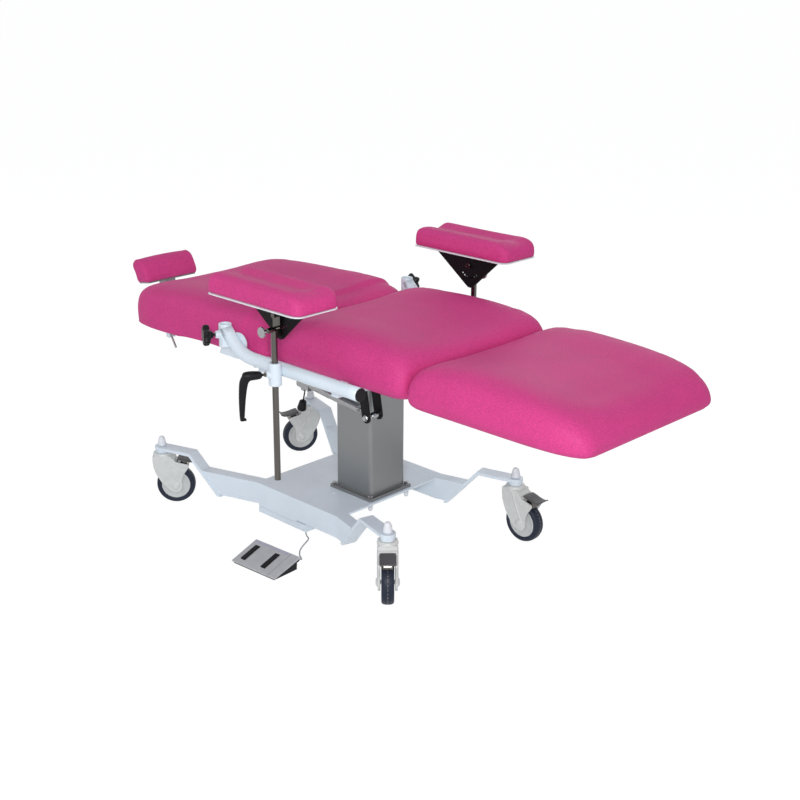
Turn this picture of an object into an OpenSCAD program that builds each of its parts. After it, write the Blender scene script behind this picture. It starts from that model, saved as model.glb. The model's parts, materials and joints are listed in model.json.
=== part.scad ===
// Reclining examination chair for brain-wave recording, in millimetres.
// +X runs to the foot end, -Y is the patient's right hand side, +Z is up.
// The chair is drawn around its lifting column and shifted so that the
// origin lies on the floor, under the middle of the whole chair.

/* [Bed] */
// Width of the three cushions
bed_w = 632; // [560:4:660]
// Height of the cushions' underside at the lowest lift setting
bed_z = 590; // [590:5:630]
// Thickness of the back cushion
back_t = 134; // [126:2:142]
// Thickness of the seat cushion
seat_t = 148; // [140:2:156]
// Thickness of the leg cushion
leg_t = 131; // [124:1:140]
// Head end of the back cushion, measured from the column
back_end = 800; // [720:4:840]
// Length of the leg cushion
leg_len = 579; // [480:1:660]
// Depth of the lengthwise hollow
hollow = 13; // [0:1:20]

/* [Headrest] */
// Width of the head pad
head_w = 212; // [160:4:280]
// Distance from the back cushion to the middle of the head pad
head_gap = 206; // [190:2:280]
// Height of the head pad
head_t = 78; // [50:2:90]

/* [Armrests] */
// Length of an armrest pad
pad_len = 364; // [280:2:420]
// Width of an armrest pad
pad_w = 146; // [110:2:160]
// Thickness of an armrest pad
pad_t = 54; // [30:1:60]
// Height of the pad boards above the floor
pad_z = 827; // [810:2:900]
// Diameter of the armrest posts
post_d = 18; // [14:1:22]
// Length of the armrest posts
post_len = 440; // [400:2:480]

/* [Side tubes] */
// Diameter of the side tubes
tube_d = 38; // [32:1:42]
// Distance from the middle to each side tube
tube_y = 379; // [375:1:400]
// Height of the side tubes
tube_z = 623; // [618:1:630]
// Foot end of the side tubes
tube_end = 346; // [300:2:352]
// Bore of the accessory sockets at the head end
socket_bore = 28.4; // [20:0.2:30]

/* [Column and base] */
// Side of the square column cover
column_w = 150; // [130:2:160]
// Width of the column flange outside the cover
flange_edge = 14; // [12:1:20]
// Width of each side beam
beam_w = 40; // [30:1:50]
// Depth of each side beam
beam_h = 70; // [50:1:74]
// Height of the base plate's upper face
plate_z = 143.6; // [140:0.2:150]
// Distance from the middle to the outside of each beam
beam_y = 230; // [220:2:250]

/* [Casters] */
// Diameter of the wheels
wheel_d = 125; // [100:1:125]
// Width of the tyres
wheel_w = 36; // [28:1:36]
// Distance from the swivel axis to the axle
trail = 40.6; // [36:0.2:44]
// Swivel angles of the four casters in order: head right, foot right, foot left, head left
caster_turn = [47, -45, 0, 242];

/* [Hidden] */
$fn = 48;
fine_fn = 64;
running = 0.06;
gap = 0.3;
half_w = bed_w / 2;

// frame of the row: the chair spans the same distance either side of the origin
hinge_x = 430;
foot_reach = hinge_x + leg_len;
head_reach = back_end + head_gap + 55.3;
chair_x = (head_reach - foot_reach) / 2;

// base
plate_t = 6;
beam_top = plate_z + 0.6;
beam_low = beam_top - beam_h;
plate_head = -276;
plate_foot = 98;
bend_head = -271;
bend_foot = 91;
bend_y = beam_y - beam_w / 2;
stem_head = [-633, 325];
stem_foot = [349, 278];
bar_w = 46;
bar_t = 10;
bar_top = 194.5;
bar_slope = 48;
bar_low = beam_low - 7;
head_run = 150;
foot_run = 36;
ring_d = 42;
ring_z = 174;
stem_pin_r = 7;
cap_d = 27;
cap_h = 33;
strip_z = 66;
tray_low = 46.5;
tray_top = 65;
tray_head = -266;
tray_foot = -48;
tray_step = -90;
tray_in = 60;
gland = [-76, -205];
gland_z = 40;

// column
flange_t = 9;
flange_w = column_w + 2 * flange_edge;
flange_z = plate_z + flange_t;
cover_wall = 4;
cover_top = 558;
corner_r = 12;
bolt_at = column_w / 2 + 3;
bolt_r = 4;
inner_w = column_w - 2 * cover_wall - 4 * running;
inner_low = 230;

// casters
wheel_r = wheel_d / 2;
hub_r = 46;
axle_r = 5;
cheek_y = 28;
well_y = 20.5;
well_r = wheel_r + 3.5;
hood_top = ring_z - gap;
pedal_x = 66;
pedal_z = 129;
pedal_pin = 2.5;

// seat carrier
pan_t = 2;
rail_h = 15;
rail_z = bed_z - pan_t - rail_h;
mount_t = 8;
mount_long = 260;
mount_wide = 280;
cross_at = [-90, 215];
mount_low = rail_z - mount_t;
rail_y = 150;
board_t = 12;
board_in = 92;
hinge_z = bed_z - 16;
hinge_r = 11;
hinge_pin = 6;
seat_head = -122.7;
seat_foot = hinge_x - 0.4;
back_pivot = [-190, 643];
pivot_r = 8;
bearer_y = 150;
leg_bearer_y = 118;
release_at = [-616, 36 - half_w, bed_z - 26];
release_len = 46;
plug_r = tube_d / 2 - 2.5;

// side tubes
socket_x = -213;
socket_low = 636;
socket_top = 704;
bend_turn = 34;
bend_x = -118;
knee_run = 34;
collar_x = 45;
collar_r = 18.5;
collar_low = 586;
collar_top = 652;
post_r = post_d / 2;
post_y = tube_y + tube_d / 2 + collar_r - 2.5;
stud_r = 4;
stud_turn = 120;
clamp_z = 619;
knob_z = 672;

// gas spring
gas_y = -105;
rod_end = [115, 433];
lever_end = [-190, 471];
gas_span = sqrt((rod_end[0] - lever_end[0]) ^ 2 + (rod_end[1] - lever_end[1]) ^ 2);
gas_tilt = atan2(lever_end[1] - rod_end[1], rod_end[0] - lever_end[0]);
rod_r = 5;
hanger_t = 6;
hanger_in = 22;

// armrests
pad_x = 44;
post_top = 744;
lug_t = 7.8;
lug_y = post_y - post_r;
pivot_z = pad_z - 40;
index_r = 40;
index_pin = 3;
index_z = pivot_z - index_r;
plate_y = lug_y + 0.2 - lug_t - gap;
board_arm_t = 4;

// foot control
control_at = [-32, -404];
control_turn = 3.5;
control_w = 182;
control_d = 104;
control_rear = 42;
control_front = 10;
plug_at = [78, 24];
cable_r = 2.2;
pedal_hinge = [28.6, 34.4];

// headrest
head_tilt = 10;
bar_z = bed_z - 28;
head_z = bed_z + 40;
head_x = -back_end - head_gap;

// helpers

module chair() translate([chair_x, 0, 0]) children();

module both() {
    children();
    mirror([0, 1, 0]) children();
}

module mirrored() mirror([0, 1, 0]) children();

module along_y(length) rotate([90, 0, 0]) translate([0, 0, -length / 2]) children();

// flat shape in the XZ plane, given thickness centred on y
module upright(y, thick) translate([0, y, 0]) rotate([90, 0, 0]) translate([0, 0, -thick / 2])
    linear_extrude(thick) children();

module rounded_box(size, r) {
    x = size[0] / 2 - r;
    y = size[1] / 2 - r;
    linear_extrude(size[2]) {
        square([size[0], 2 * y], center = true);
        square([2 * x, size[1]], center = true);
        for (i = [-1, 1], j = [-1, 1]) translate([i * x, j * y]) circle(r);
    }
}

// slot shape: two rounded ends joined by a bar
module link(a, b, w) {
    d = b - a;
    translate(a) circle(w / 2);
    translate(b) circle(w / 2);
    translate(a) rotate(atan2(d[1], d[0])) translate([0, -w / 2]) square([norm(d), w]);
}

// base

function stem(i) = [[stem_head[0], -stem_head[1]], [stem_foot[0], -stem_foot[1]], stem_foot,
    stem_head][i];

function head_splay() = atan2(stem_head[1] - bend_y, bend_head - stem_head[0]);

function foot_splay() = atan2(stem_foot[1] - bend_y, stem_foot[0] - bend_foot);

// frames at the two bends of the beam on the patient's left, with X running outward along the splayed end
module at_foot_end() translate([bend_foot, bend_y, 0]) rotate([0, 0, foot_splay()]) children();
module at_head_end() translate([bend_head, bend_y, 0]) rotate([0, 0, 180 - head_splay()]) children();

// corner of the beam's plan at distance run from a bend, on side s of its middle line
function beam_corner(bend, a, run, s) = [bend + run * cos(a) - s * beam_w / 2 * sin(a),
    bend_y + run * sin(a) + s * beam_w / 2 * cos(a)];

// block that cuts the sloped end of a beam
module slope_cut(run) {
    rise = beam_h / tan(bar_slope);
    rotate([90, 0, 0]) translate([0, 0, -beam_w]) linear_extrude(2 * beam_w)
        polygon([[run - rise, beam_low - beam_h], [run + 3 * rise, beam_low - beam_h],
            [run + 3 * rise, beam_top + beam_h], [run + 2 * rise, beam_top + beam_h]]);
}

module beam() {
    rise = beam_h / tan(bar_slope);
    h = beam_w / 2 * tan(head_splay() / 2);
    f = beam_w / 2 * tan(foot_splay() / 2);
    a = 180 - head_splay();
    difference() {
        translate([0, 0, beam_low]) linear_extrude(beam_h)
            polygon([beam_corner(bend_foot, foot_splay(), foot_run + rise, -1),
            beam_corner(bend_foot, foot_splay(), foot_run + rise, 1), [bend_foot - f, beam_y],
                [bend_head + h, beam_y],
            beam_corner(bend_head, a, head_run + rise, -1), beam_corner(bend_head, a, head_run + rise, 1),
            [bend_head - h, beam_y - beam_w], [bend_foot + f, beam_y - beam_w]]);
        at_foot_end() slope_cut(foot_run);
        at_head_end() slope_cut(head_run);
    }
}

module base_frame() color("gainsboro") chair() {
    difference() {
        union() {
            both() beam();
            translate([plate_head, -bend_y, plate_z - plate_t])
                cube([plate_foot - plate_head, 2 * bend_y, plate_t]);
            translate([tray_head, 0.6 - beam_y, strip_z])
                cube([tray_step - tray_head, beam_w - 4, beam_low - strip_z + 1]);
        }
        for (i = [-1, 1], j = [-1, 1]) translate([i * bolt_at, j * bolt_at, plate_z - plate_t - 1])
            cylinder(r = bolt_r + running, h = plate_t + 2);
        for (j = [-1, 1]) translate([-261, j * 65, plate_z - plate_t - 1])
            cylinder(d = 5, h = plate_t + 2);
    }
    for (p = [[-141, -52], [-40, -120], [-141, 52], [-40, 120]]) translate([p[0], p[1], plate_z - 0.1])
        cylinder(d1 = 8, d2 = 5, h = 2);
}

// bent flat bar from under the beam end, up its slope and level out to the caster
module end_bar(run, reach) {
    far = run + (bar_top - beam_low) / tan(bar_slope);
    low = run - (beam_low - bar_low) / tan(bar_slope);
    skew = bar_t / sin(bar_slope);
    knee = bar_t * tan(bar_slope / 2);
    intersection() {
        rotate([90, 0, 0]) translate([0, 0, -bar_w / 2]) linear_extrude(bar_w)
            polygon([[low, bar_low], [low + skew, bar_low], [far + knee, bar_top - bar_t],
                [reach + bar_w / 2, bar_top - bar_t],
                [reach + bar_w / 2, bar_top], [far, bar_top]]);
        union() {
            translate([low - 1, -bar_w / 2, 0]) cube([reach - low + 1, bar_w, 300]);
            translate([reach, 0, 0]) cylinder(r = bar_w / 2, h = 300);
        }
    }
    translate([reach, 0, ring_z]) cylinder(d = ring_d, h = bar_top - bar_t - ring_z + 0.5);
    translate([reach, 0, ring_z - 22]) cylinder(r = stem_pin_r, h = 30);
}

module caster_bars() color("gainsboro") chair() both() {
    at_foot_end() end_bar(foot_run, norm([stem_foot[0] - bend_foot, stem_foot[1] - bend_y]));
    at_head_end() end_bar(head_run, norm([bend_head - stem_head[0], stem_head[1] - bend_y]));
}

module caster_caps() color("white") chair() for (i = [0:3]) translate([stem(i)[0], stem(i)[1], bar_top]) {
    rotate_extrude($fn = fine_fn) polygon([[0, 0], [9, 0], [9, 2], [cap_d / 2, 2.2], [cap_d / 2, 8],
        [12.2, 17], [10.4, 25], [7.6, 30], [4, cap_h - 0.8], [0, cap_h]]);
}

module control_tray() color("gainsboro") chair() {
    translate([tray_head, -beam_y, tray_low]) cube([tray_foot - tray_head, beam_y - tray_in,
        tray_top - tray_low]);
    translate([tray_step, -beam_y, tray_low]) cube([tray_foot - tray_step, beam_w - 6, 69.6 - tray_low]);
    translate([tray_head + 14, -bend_y + beam_w / 2 + 2, tray_low])
        cube([150, bend_y - beam_w / 2 - 2 - tray_in, plate_z - plate_t - tray_low]);
    translate([gland[0], gland[1], gland_z]) cylinder(r1 = 4.4, r2 = 6.5, h = tray_low - gland_z + 0.5);
}

module column_cover() color("silver") chair() difference() {
    union() {
        translate([0, 0, plate_z]) rounded_box([flange_w, flange_w, flange_t], 3);
        translate([0, 0, plate_z + 1]) rounded_box([column_w, column_w, cover_top - plate_z - 1],
            corner_r);
    }
    translate([0, 0, flange_z + 2]) rounded_box([column_w - 2 * cover_wall, column_w - 2 * cover_wall,
        cover_top], corner_r - cover_wall);
    for (i = [-1, 1], j = [-1, 1]) translate([i * bolt_at, j * bolt_at, plate_z - 1])
        cylinder(r = bolt_r + running, h = flange_t + 2);
}

module flange_bolts() color("silver") chair() for (i = [-1, 1], j = [-1, 1])
    translate([i * bolt_at, j * bolt_at, 0]) {
    translate([0, 0, plate_z - plate_t - 20]) cylinder(r = bolt_r, h = flange_t + plate_t + 24);
    translate([0, 0, flange_z]) cylinder(r = 8, h = 1.6);
    translate([0, 0, flange_z + 1.6]) linear_extrude(5.4) circle(r = 7.5, $fn = 6);
    translate([0, 0, plate_z - plate_t - 8]) linear_extrude(8) circle(r = 8.4, $fn = 6);
    translate([0, 0, plate_z - plate_t - 27]) rotate_extrude()
        polygon([[0, 0], [4, 0.6], [6.6, 4], [7.2, 9], [7.2, 20], [0, 20]]);
}

// casters, drawn with the swivel axis at the origin and the trail along +X

module at_caster(i) chair() translate([stem(i)[0], stem(i)[1], 0]) rotate([0, 0, caster_turn[i]])
    children();

module cheek_shape() polygon([[-30, hood_top - 8], [-30.5, 150], [-28.5, 126], [-20, 104], [-5, 76],
    [12, 54], [24, 44], [34, 39.5], [46, 38.5],
    [56, 42.5], [62, 52], [63, 62], [62, 74], [64, 88], [70, 103], [78, 115], [85, 126], [86, 131],
        [80, 138], [68, 144.5], [50, 151], [36, 154],
    [30, 158], [30, hood_top - 8]]);

module fork() difference() {
    union() {
        translate([0, 0, hood_top - 16]) cylinder(r1 = 29.5, r2 = 30.8, h = 8);
        translate([0, 0, hood_top - 8]) cylinder(r1 = 30.8, r2 = 27.5, h = 8);
        upright(0, 2 * cheek_y) cheek_shape();
        for (s = [-1, 1], p = [[44, 129], [pedal_x, pedal_z]]) translate([p[0], s * cheek_y, p[1]])
            along_y(2.4) cylinder(r = 3.4, h = 2.4);
        translate([trail, 0, wheel_r]) along_y(2 * cheek_y + 8) cylinder(r = 12, h = 2 * cheek_y + 8);
        translate([trail, 0, wheel_r]) along_y(2 * cheek_y + 12) cylinder(r = 8.5, h = 2 * cheek_y + 12);
    }
    difference() {
        translate([trail, 0, wheel_r]) along_y(2 * well_y)
            cylinder(r = well_r, h = 2 * well_y, $fn = fine_fn);
        translate([trail, 0, wheel_r]) along_y(2 * well_y) cylinder(r = axle_r, h = 2 * well_y);
    }
    difference() {
        translate([46, -well_y, 96]) cube([60, 2 * well_y, 70]);
        translate([pedal_x, 0, pedal_z]) along_y(2 * well_y) cylinder(r = pedal_pin, h = 2 * well_y);
    }
    translate([0, 0, hood_top - 22 - gap]) cylinder(r = stem_pin_r + running, h = 30);
    translate([40, -40, 146]) rotate([0, 14, 0]) cube([60, 80, 30]);
}

module brake() {
    upright(0, 46) polygon([[50, 156.5], [62, 154.4], [78, 149.6], [94, 146.4], [104, 147], [112, 150.5],
        [113, 147.6], [104, 143.4], [94, 142.6],
        [77, 145.9], [61, 150.8], [50, 152.9]]);
    difference() {
        upright(0, 38) polygon([[57, 131], [58, 140], [64, 151], [78, 147], [80, 134], [84, 125],
            [82, 119.5], [76, 118.6],
            [70, 122.6], [62, 124.4]]);
        translate([pedal_x, 0, pedal_z]) along_y(60) cylinder(r = pedal_pin + running, h = 60);
    }
}

module hub() difference() {
    translate([trail, 0, wheel_r]) rotate([90, 0, 0]) rotate_extrude($fn = fine_fn)
        polygon([[0, -17.5], [16, -17.5], [20, -14.5], [34, -13.5], [42, -15.5], [hub_r, -15],
            [hub_r, 15], [42, 15.5], [34, 13.5], [20, 14.5], [16, 17.5], [0, 17.5]]);
    translate([trail, 0, wheel_r]) along_y(60) cylinder(r = axle_r + running, h = 60);
}

module tyre() translate([trail, 0, wheel_r]) rotate([90, 0, 0]) rotate_extrude($fn = fine_fn)
    polygon([[hub_r, -14.8], [49, -wheel_w / 2 + 1], [53, -wheel_w / 2], [57, -wheel_w / 2 + 0.6],
        [60, -wheel_w / 2 + 3], [61.8, -10], [wheel_r, -6],
        [wheel_r, 6], [61.8, 10], [60, wheel_w / 2 - 3], [57, wheel_w / 2 - 0.6], [53, wheel_w / 2],
            [49, wheel_w / 2 - 1], [hub_r, 14.8]]);

module fork_head_right() color("lightgray") at_caster(0) fork();
module fork_foot_right() color("lightgray") at_caster(1) fork();
module fork_foot_left() color("lightgray") at_caster(2) fork();
module fork_head_left() color("lightgray") at_caster(3) fork();
module brake_head_right() color("dimgray") at_caster(0) brake();
module brake_foot_right() color("dimgray") at_caster(1) brake();
module brake_foot_left() color("dimgray") at_caster(2) brake();
module brake_head_left() color("dimgray") at_caster(3) brake();
module hub_head_right() color("silver") at_caster(0) hub();
module hub_foot_right() color("silver") at_caster(1) hub();
module hub_foot_left() color("silver") at_caster(2) hub();
module hub_head_left() color("silver") at_caster(3) hub();
module tyre_head_right() color("midnightblue") at_caster(0) tyre();
module tyre_foot_right() color("midnightblue") at_caster(1) tyre();
module tyre_foot_left() color("midnightblue") at_caster(2) tyre();
module tyre_head_left() color("midnightblue") at_caster(3) tyre();

// seat carrier

module lift_column() color("dimgray") chair() difference() {
    translate([0, 0, inner_low]) rounded_box([inner_w, inner_w, mount_low - inner_low],
        corner_r - cover_wall - 0.2);
    translate([0, 0, inner_low - 1]) rounded_box([inner_w - 6, inner_w - 6, mount_low - inner_low - 5],
        5);
}

module seat_frame() color("whitesmoke") chair() {
    difference() {
        union() {
            translate([-mount_long / 2, -mount_wide / 2, mount_low])
                cube([mount_long, mount_wide, mount_t]);
            translate([-96, -half_w + 76, bed_z - pan_t]) cube([hinge_x - 22 + 96, bed_w - 152, pan_t]);
            for (s = [-1, 1]) translate([-90, s * rail_y - 12, rail_z])
                cube([hinge_x - 20 + 90, 24, rail_h]);
            for (x = cross_at) translate([x, -tube_y + tube_d / 2 - 1, rail_z])
                cube([25, 2 * tube_y - tube_d + 2, rail_h]);
            for (x = cross_at, s = [-1, 1]) translate([x, s * (tube_y - tube_d / 2 - 18) - 19, rail_z])
                cube([25, 38, 46]);
        }
        for (s = [-1, 1]) translate([-150, s * tube_y, tube_z]) rotate([0, 90, 0])
            cylinder(d = tube_d, h = 540);
    }
    difference() {
        for (s = [-1, 1]) {
            translate([hinge_x - 46, s * rail_y - 12, hinge_z - hinge_r])
                cube([36, 24, hinge_z + hinge_r - rail_z + 2]);
            translate([hinge_x, s * rail_y, hinge_z]) along_y(24) cylinder(r = hinge_r, h = 24);
            translate([hinge_x - 14, s * rail_y - 12, hinge_z - hinge_r]) cube([14, 24, 2 * hinge_r]);
        }
        translate([hinge_x, 0, hinge_z]) along_y(400) cylinder(r = hinge_pin + running, h = 400);
    }
}

// half space beyond a knee in the tube, on the plane that halves the turn
module beyond(x, z, a, s) translate([x, tube_y, z]) rotate([0, a, 0])
    translate([s > 0 ? 0 : -900, -100, -100]) cube([900, 200, 200]);

// straight run of tube through a point, rising by angle a towards the head end
module run(x, z, a, back, ahead) translate([x, tube_y, z]) rotate([0, a - 90, 0]) translate([0, 0, -back])
    cylinder(d = tube_d, h = back + ahead);

// the rising head end of the tube, bent in two knees
module bent_tube() {
    x = bend_x - knee_run * cos(bend_turn / 2);
    z = tube_z + knee_run * sin(bend_turn / 2);
    difference() {
        run(bend_x, tube_z, 0, tube_end - bend_x, 40);
        beyond(bend_x, tube_z, bend_turn / 4, -1);
    }
    difference() {
        run(bend_x, tube_z, bend_turn / 2, 40, knee_run + 40);
        beyond(bend_x, tube_z, bend_turn / 4, 1);
        beyond(x, z, bend_turn * 3 / 4, -1);
    }
    difference() {
        run(x, z, bend_turn, 40, (x - socket_x) / cos(bend_turn));
        beyond(x, z, bend_turn * 3 / 4, 1);
    }
}

// one side tube with its socket, collar, bosses and pivot plate, drawn on the patient's left
module side_tube() difference() {
    union() {
        bent_tube();
        translate([socket_x, tube_y, socket_low]) cylinder(d = tube_d, h = socket_top - socket_low);
        translate([socket_x, tube_y, knob_z]) rotate([0, 0, stud_turn]) rotate([0, 90, 0])
            cylinder(r = 11, h = tube_d / 2 + 10);
        translate([collar_x, post_y, collar_low]) cylinder(r = collar_r, h = collar_top - collar_low);
        translate([collar_x, post_y, clamp_z]) rotate([0, 0, stud_turn]) rotate([0, 90, 0])
            cylinder(r = 9, h = collar_r + 6);
        upright(tube_y - tube_d / 2 - 1, 8) {
            translate(back_pivot) circle(r = 27);
            polygon([[back_pivot[0] - 27, back_pivot[1]], [-257, 614], [-261, 604], [-175, 604],
                [-155, 612], [back_pivot[0] + 27, back_pivot[1]]]);
        }
    }
    translate([socket_x, tube_y, socket_low - 1]) cylinder(d = socket_bore, h =
        socket_top - socket_low + 2);
    translate([socket_x, tube_y, knob_z]) rotate([0, 0, stud_turn]) rotate([0, 90, 0])
        cylinder(r = stud_r + running, h = 60);
    translate([collar_x, post_y, collar_low - 1]) cylinder(r = post_r + running, h =
        collar_top - collar_low + 2);
    translate([collar_x, post_y, clamp_z]) rotate([0, 0, stud_turn]) rotate([0, 90, 0])
        cylinder(r = stud_r + running, h = 60);
    translate([tube_end - 14, tube_y, tube_z]) rotate([0, 90, 0]) cylinder(r = plug_r, h = 15);
    translate([back_pivot[0], tube_y - tube_d / 2 - 4, back_pivot[1]]) along_y(16)
        cylinder(r = pivot_r + running, h = 16);
}

module side_tubes() color("whitesmoke") chair() both() side_tube();

module tube_plugs() color("black") chair() both() translate([tube_end, tube_y, tube_z]) rotate([0, 90, 0])
    {
    translate([0, 0, -14]) cylinder(r = plug_r, h = 15);
    cylinder(r1 = tube_d / 2, r2 = tube_d / 2 - 1.5, h = 4);
}

module spring_hangers() color("black") chair() for (s = [-1, 1]) difference() {
    upright(gas_y + s * (hanger_in + hanger_t / 2), hanger_t) intersection() {
        link(rod_end, [rod_end[0] - 27, rod_end[1] + 150], 32);
        translate([0, rod_end[1] - 40]) square([200, mount_low - rod_end[1] + 40]);
    }
    translate([rod_end[0], gas_y, rod_end[1]]) along_y(100) cylinder(r = 5 + running, h = 100);
}

module hanger_bolt() color("silver") chair() translate([rod_end[0], gas_y, rod_end[1]]) {
    reach = hanger_in + hanger_t;
    along_y(2 * reach + 10) cylinder(r = 5, h = 2 * reach + 10);
    for (s = [-1, 1]) translate([0, s * (reach + 1), 0]) along_y(2) cylinder(r = 9, h = 2);
    for (s = [-1, 1]) translate([0, s * (reach + 4.5), 0]) along_y(5) linear_extrude(5)
        circle(r = 8, $fn = 6);
    for (s = [-1, 1]) translate([0, s * (hanger_in + 7.3) / 2, 0]) along_y(hanger_in - 7.3)
        cylinder(r = 9, h = hanger_in - 7.3);
}

// gas spring, drawn along +Z from its rod end

module along_gas() chair() translate([rod_end[0], gas_y, rod_end[1]]) rotate([0, gas_tilt - 90, 0])
    children();

module gas_rod() color("silver") along_gas() difference() {
    union() {
        cylinder(r = rod_r, h = 252);
        along_y(14) cylinder(r = 11, h = 14);
        translate([0, 0, 4]) cylinder(r = 7, h = 18);
    }
    along_y(40) cylinder(r = 5 + running, h = 40);
}

module gas_tube() color("dimgray") along_gas() {
    difference() {
        union() {
            translate([0, 0, 54]) cylinder(r = 15, h = 8);
            translate([0, 0, 62]) cylinder(r = 13, h = 121);
            translate([0, 0, 183]) cylinder(r = 14, h = gas_span - 44 - 183);
        }
        translate([0, 0, 50]) cylinder(r = rod_r + running, h = 206);
    }
    translate([0, 0, gas_span - 44.2]) cylinder(r = 12.5, h = 6);
    translate([-7, 0, gas_span - 38]) along_y(24) rounded_box([30, 4, 24], 1.5);
    translate([-26, -12, gas_span - 22]) cube([7, 24, 14]);
    for (s = [-1, 1]) translate([0, s * 8.5, gas_span - 12]) along_y(7) rounded_box([40, 52, 7], 8);
    for (s = [-1, 1]) translate([0, s * 13, gas_span]) along_y(3) cylinder(r = 7, h = 3);
}

module release_knob() color("black") chair() translate([rod_end[0], gas_y, rod_end[1]])
    rotate([0, gas_tilt - 90, 0]) translate([-26.8, 0, gas_span - 15]) rotate([0, -82, 0]) {
    cylinder(r = 2.2, h = 44);
    translate([0, 0, 40]) rotate_extrude() polygon([[0, 0], [9, 0], [11, 2], [14.5, 24], [14.5, 29],
        [12, 32], [0, 32]]);
}

// back

module back_frame() color("whitesmoke") chair() {
    translate([-430, -bearer_y - 12, bed_z - board_t - 16]) cube([30, 2 * bearer_y + 24, 16]);
    for (s = [-1, 1]) translate([-back_end + 60, s * bearer_y - 12, bed_z - board_t - 20])
        cube([back_end - 60 - 172, 24, 20]);
    translate([back_pivot[0], 0, bed_z - 24]) along_y(2 * tube_y - tube_d - 26)
        cylinder(r = 12, h = 2 * tube_y - tube_d - 26);
    both() {
        upright(tube_y - tube_d / 2 - 12, 6) {
            translate(back_pivot) circle(r = 22);
            polygon([[back_pivot[0] - 22, back_pivot[1]], [-227, 600], [-221, bed_z - 24],
                [-171, bed_z - 24], [-167, 596], [back_pivot[0] + 22, back_pivot[1]]]);
        }
        translate([back_pivot[0], tube_y - tube_d / 2 - 7, back_pivot[1]]) along_y(16)
            cylinder(r = pivot_r, h = 16);
    }
    upright(gas_y, 6) difference() {
        link(lever_end, [back_pivot[0], bed_z - 24], 24);
        translate(lever_end) circle(r = 5);
    }
    difference() {
        union() {
            translate([-back_end + 6, -30, bar_z - 5]) cube([62, 60, bed_z - board_t - bar_z + 5]);
            translate([-back_end + 60, -bearer_y - 12, bed_z - board_t - 16])
                cube([30, 2 * bearer_y + 24, 16]);
        }
        translate([-back_end, -20 - running, bar_z - running])
            cube([120, 40 + 2 * running, 10 + 2 * running]);
    }
    translate([release_at[0] - 24, release_at[1] - 16, bed_z - board_t - 4])
        cube([48, 16 - release_at[1] - bearer_y, 4]);
    translate([release_at[0], release_at[1], release_at[2]]) along_y(24) cylinder(r = 3, h = 24);
    for (s = [-1, 1]) translate([release_at[0] - 8, release_at[1] + s * 10 - 2, release_at[2] - 8])
        cube([16, 4, bed_z - board_t - release_at[2] + 6]);
}

module release_lever() color("silver") chair() difference() {
    union() {
        translate(release_at) along_y(14) cylinder(r = 7, h = 14);
        translate(release_at) rotate([0, 148, 0]) cylinder(r = 3.4, h = release_len);
    }
    translate(release_at) along_y(30) cylinder(r = 3 + running, h = 30);
}

module back_board() color("burlywood") chair() translate([-back_end + board_in, -half_w + board_in,
    bed_z - board_t])
    cube([back_end - board_in + back_pivot[0] + 34, bed_w - 2 * board_in, board_t]);

// leg section

module leg_board() color("burlywood") chair() translate([hinge_x + 16, -half_w + board_in,
    bed_z - board_t])
    cube([leg_len - 16 - board_in, bed_w - 2 * board_in, board_t]);

module leg_frame() color("whitesmoke") chair() {
    for (s = [-1, 1]) translate([hinge_x + 16, s * leg_bearer_y - 12, bed_z - board_t - 20])
        cube([leg_len - 110, 24, 20]);
    for (x = [hinge_x + 60, hinge_x + leg_len - 150]) translate([x, -leg_bearer_y - 12,
        bed_z - board_t - 16])
        cube([30, 2 * leg_bearer_y + 24, 16]);
    for (s = [-1, 1]) {
        translate([hinge_x, s * leg_bearer_y, hinge_z]) along_y(24) cylinder(r = hinge_r, h = 24);
        translate([hinge_x, s * leg_bearer_y - 12, hinge_z - hinge_r])
            cube([15.7, 24, 2 * hinge_r - gap]);
        translate([hinge_x, s * leg_bearer_y - 12, hinge_z - hinge_r])
            cube([30, 24, bed_z - board_t - hinge_z + hinge_r]);
        translate([hinge_x, s * (leg_bearer_y + 16), hinge_z]) along_y(60)
            cylinder(r = hinge_pin, h = 60);
    }
}

// soft forms: a cushion is lofted along X through stations of half width, underside and top

// half of a section, from the underside round the side to the middle of the top; roll rounds the lower edge
function half_section(b, lo, hi, dip, roll) = let (h = hi - lo, k = min(1, b / 300)) [
    [b - (4 + 32 * roll) * k, lo], [b - (2 + 14 * roll) * k, lo + (0.015 + 0.025 * roll) * h],
    [b - (0.6 + 4.4 * roll) * k, lo + (0.07 + 0.06 * roll) * h], [b, lo + 0.32 * h],
        [b - 1.5 * k, lo + 0.52 * h],
    [b - 8 * k, lo + 0.73 * h], [b - 21 * k, lo + 0.88 * h], [b - 42 * k, lo + 0.97 * h],
        [b - 70 * k, hi],
    [b - 140 * k, hi + 1 - 0.3 * dip], [b - 212 * k, hi + 1.8 - 0.82 * dip], [0, hi + 2.6 - dip]];

function full_section(x, b, lo, hi, dip, roll) = let (half = half_section(b, lo, hi, dip, roll), n =
    len(half))
    concat([for (i = [0:n - 1]) [x, half[i][0], half[i][1]]],
        [for (i = [n - 2:-1:0]) [x, -half[i][0], half[i][1]]]);

module loft(sections) {
    n = len(sections[0]);
    m = len(sections);
    points = [for (s = sections) for (p = s) p];
    skin = [for (i = [0:m - 2]) for (j = [0:n - 1]) let (a = i * n + j, b = i * n + (j + 1) % n)
        [a, b, b + n, a + n]];
    first = [[for (j = [n - 1:-1:0]) j]];
    last = [[for (j = [0:n - 1]) (m - 1) * n + j]];
    polyhedron(points = points, faces = concat([for (f = skin) [f[3], f[2], f[1], f[0]]],
        [for (f = first) [for (k = [len(f) - 1:-1:0]) f[k]]],
        [for (f = last) [for (k = [len(f) - 1:-1:0]) f[k]]]), convexity = 4);
}

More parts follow.
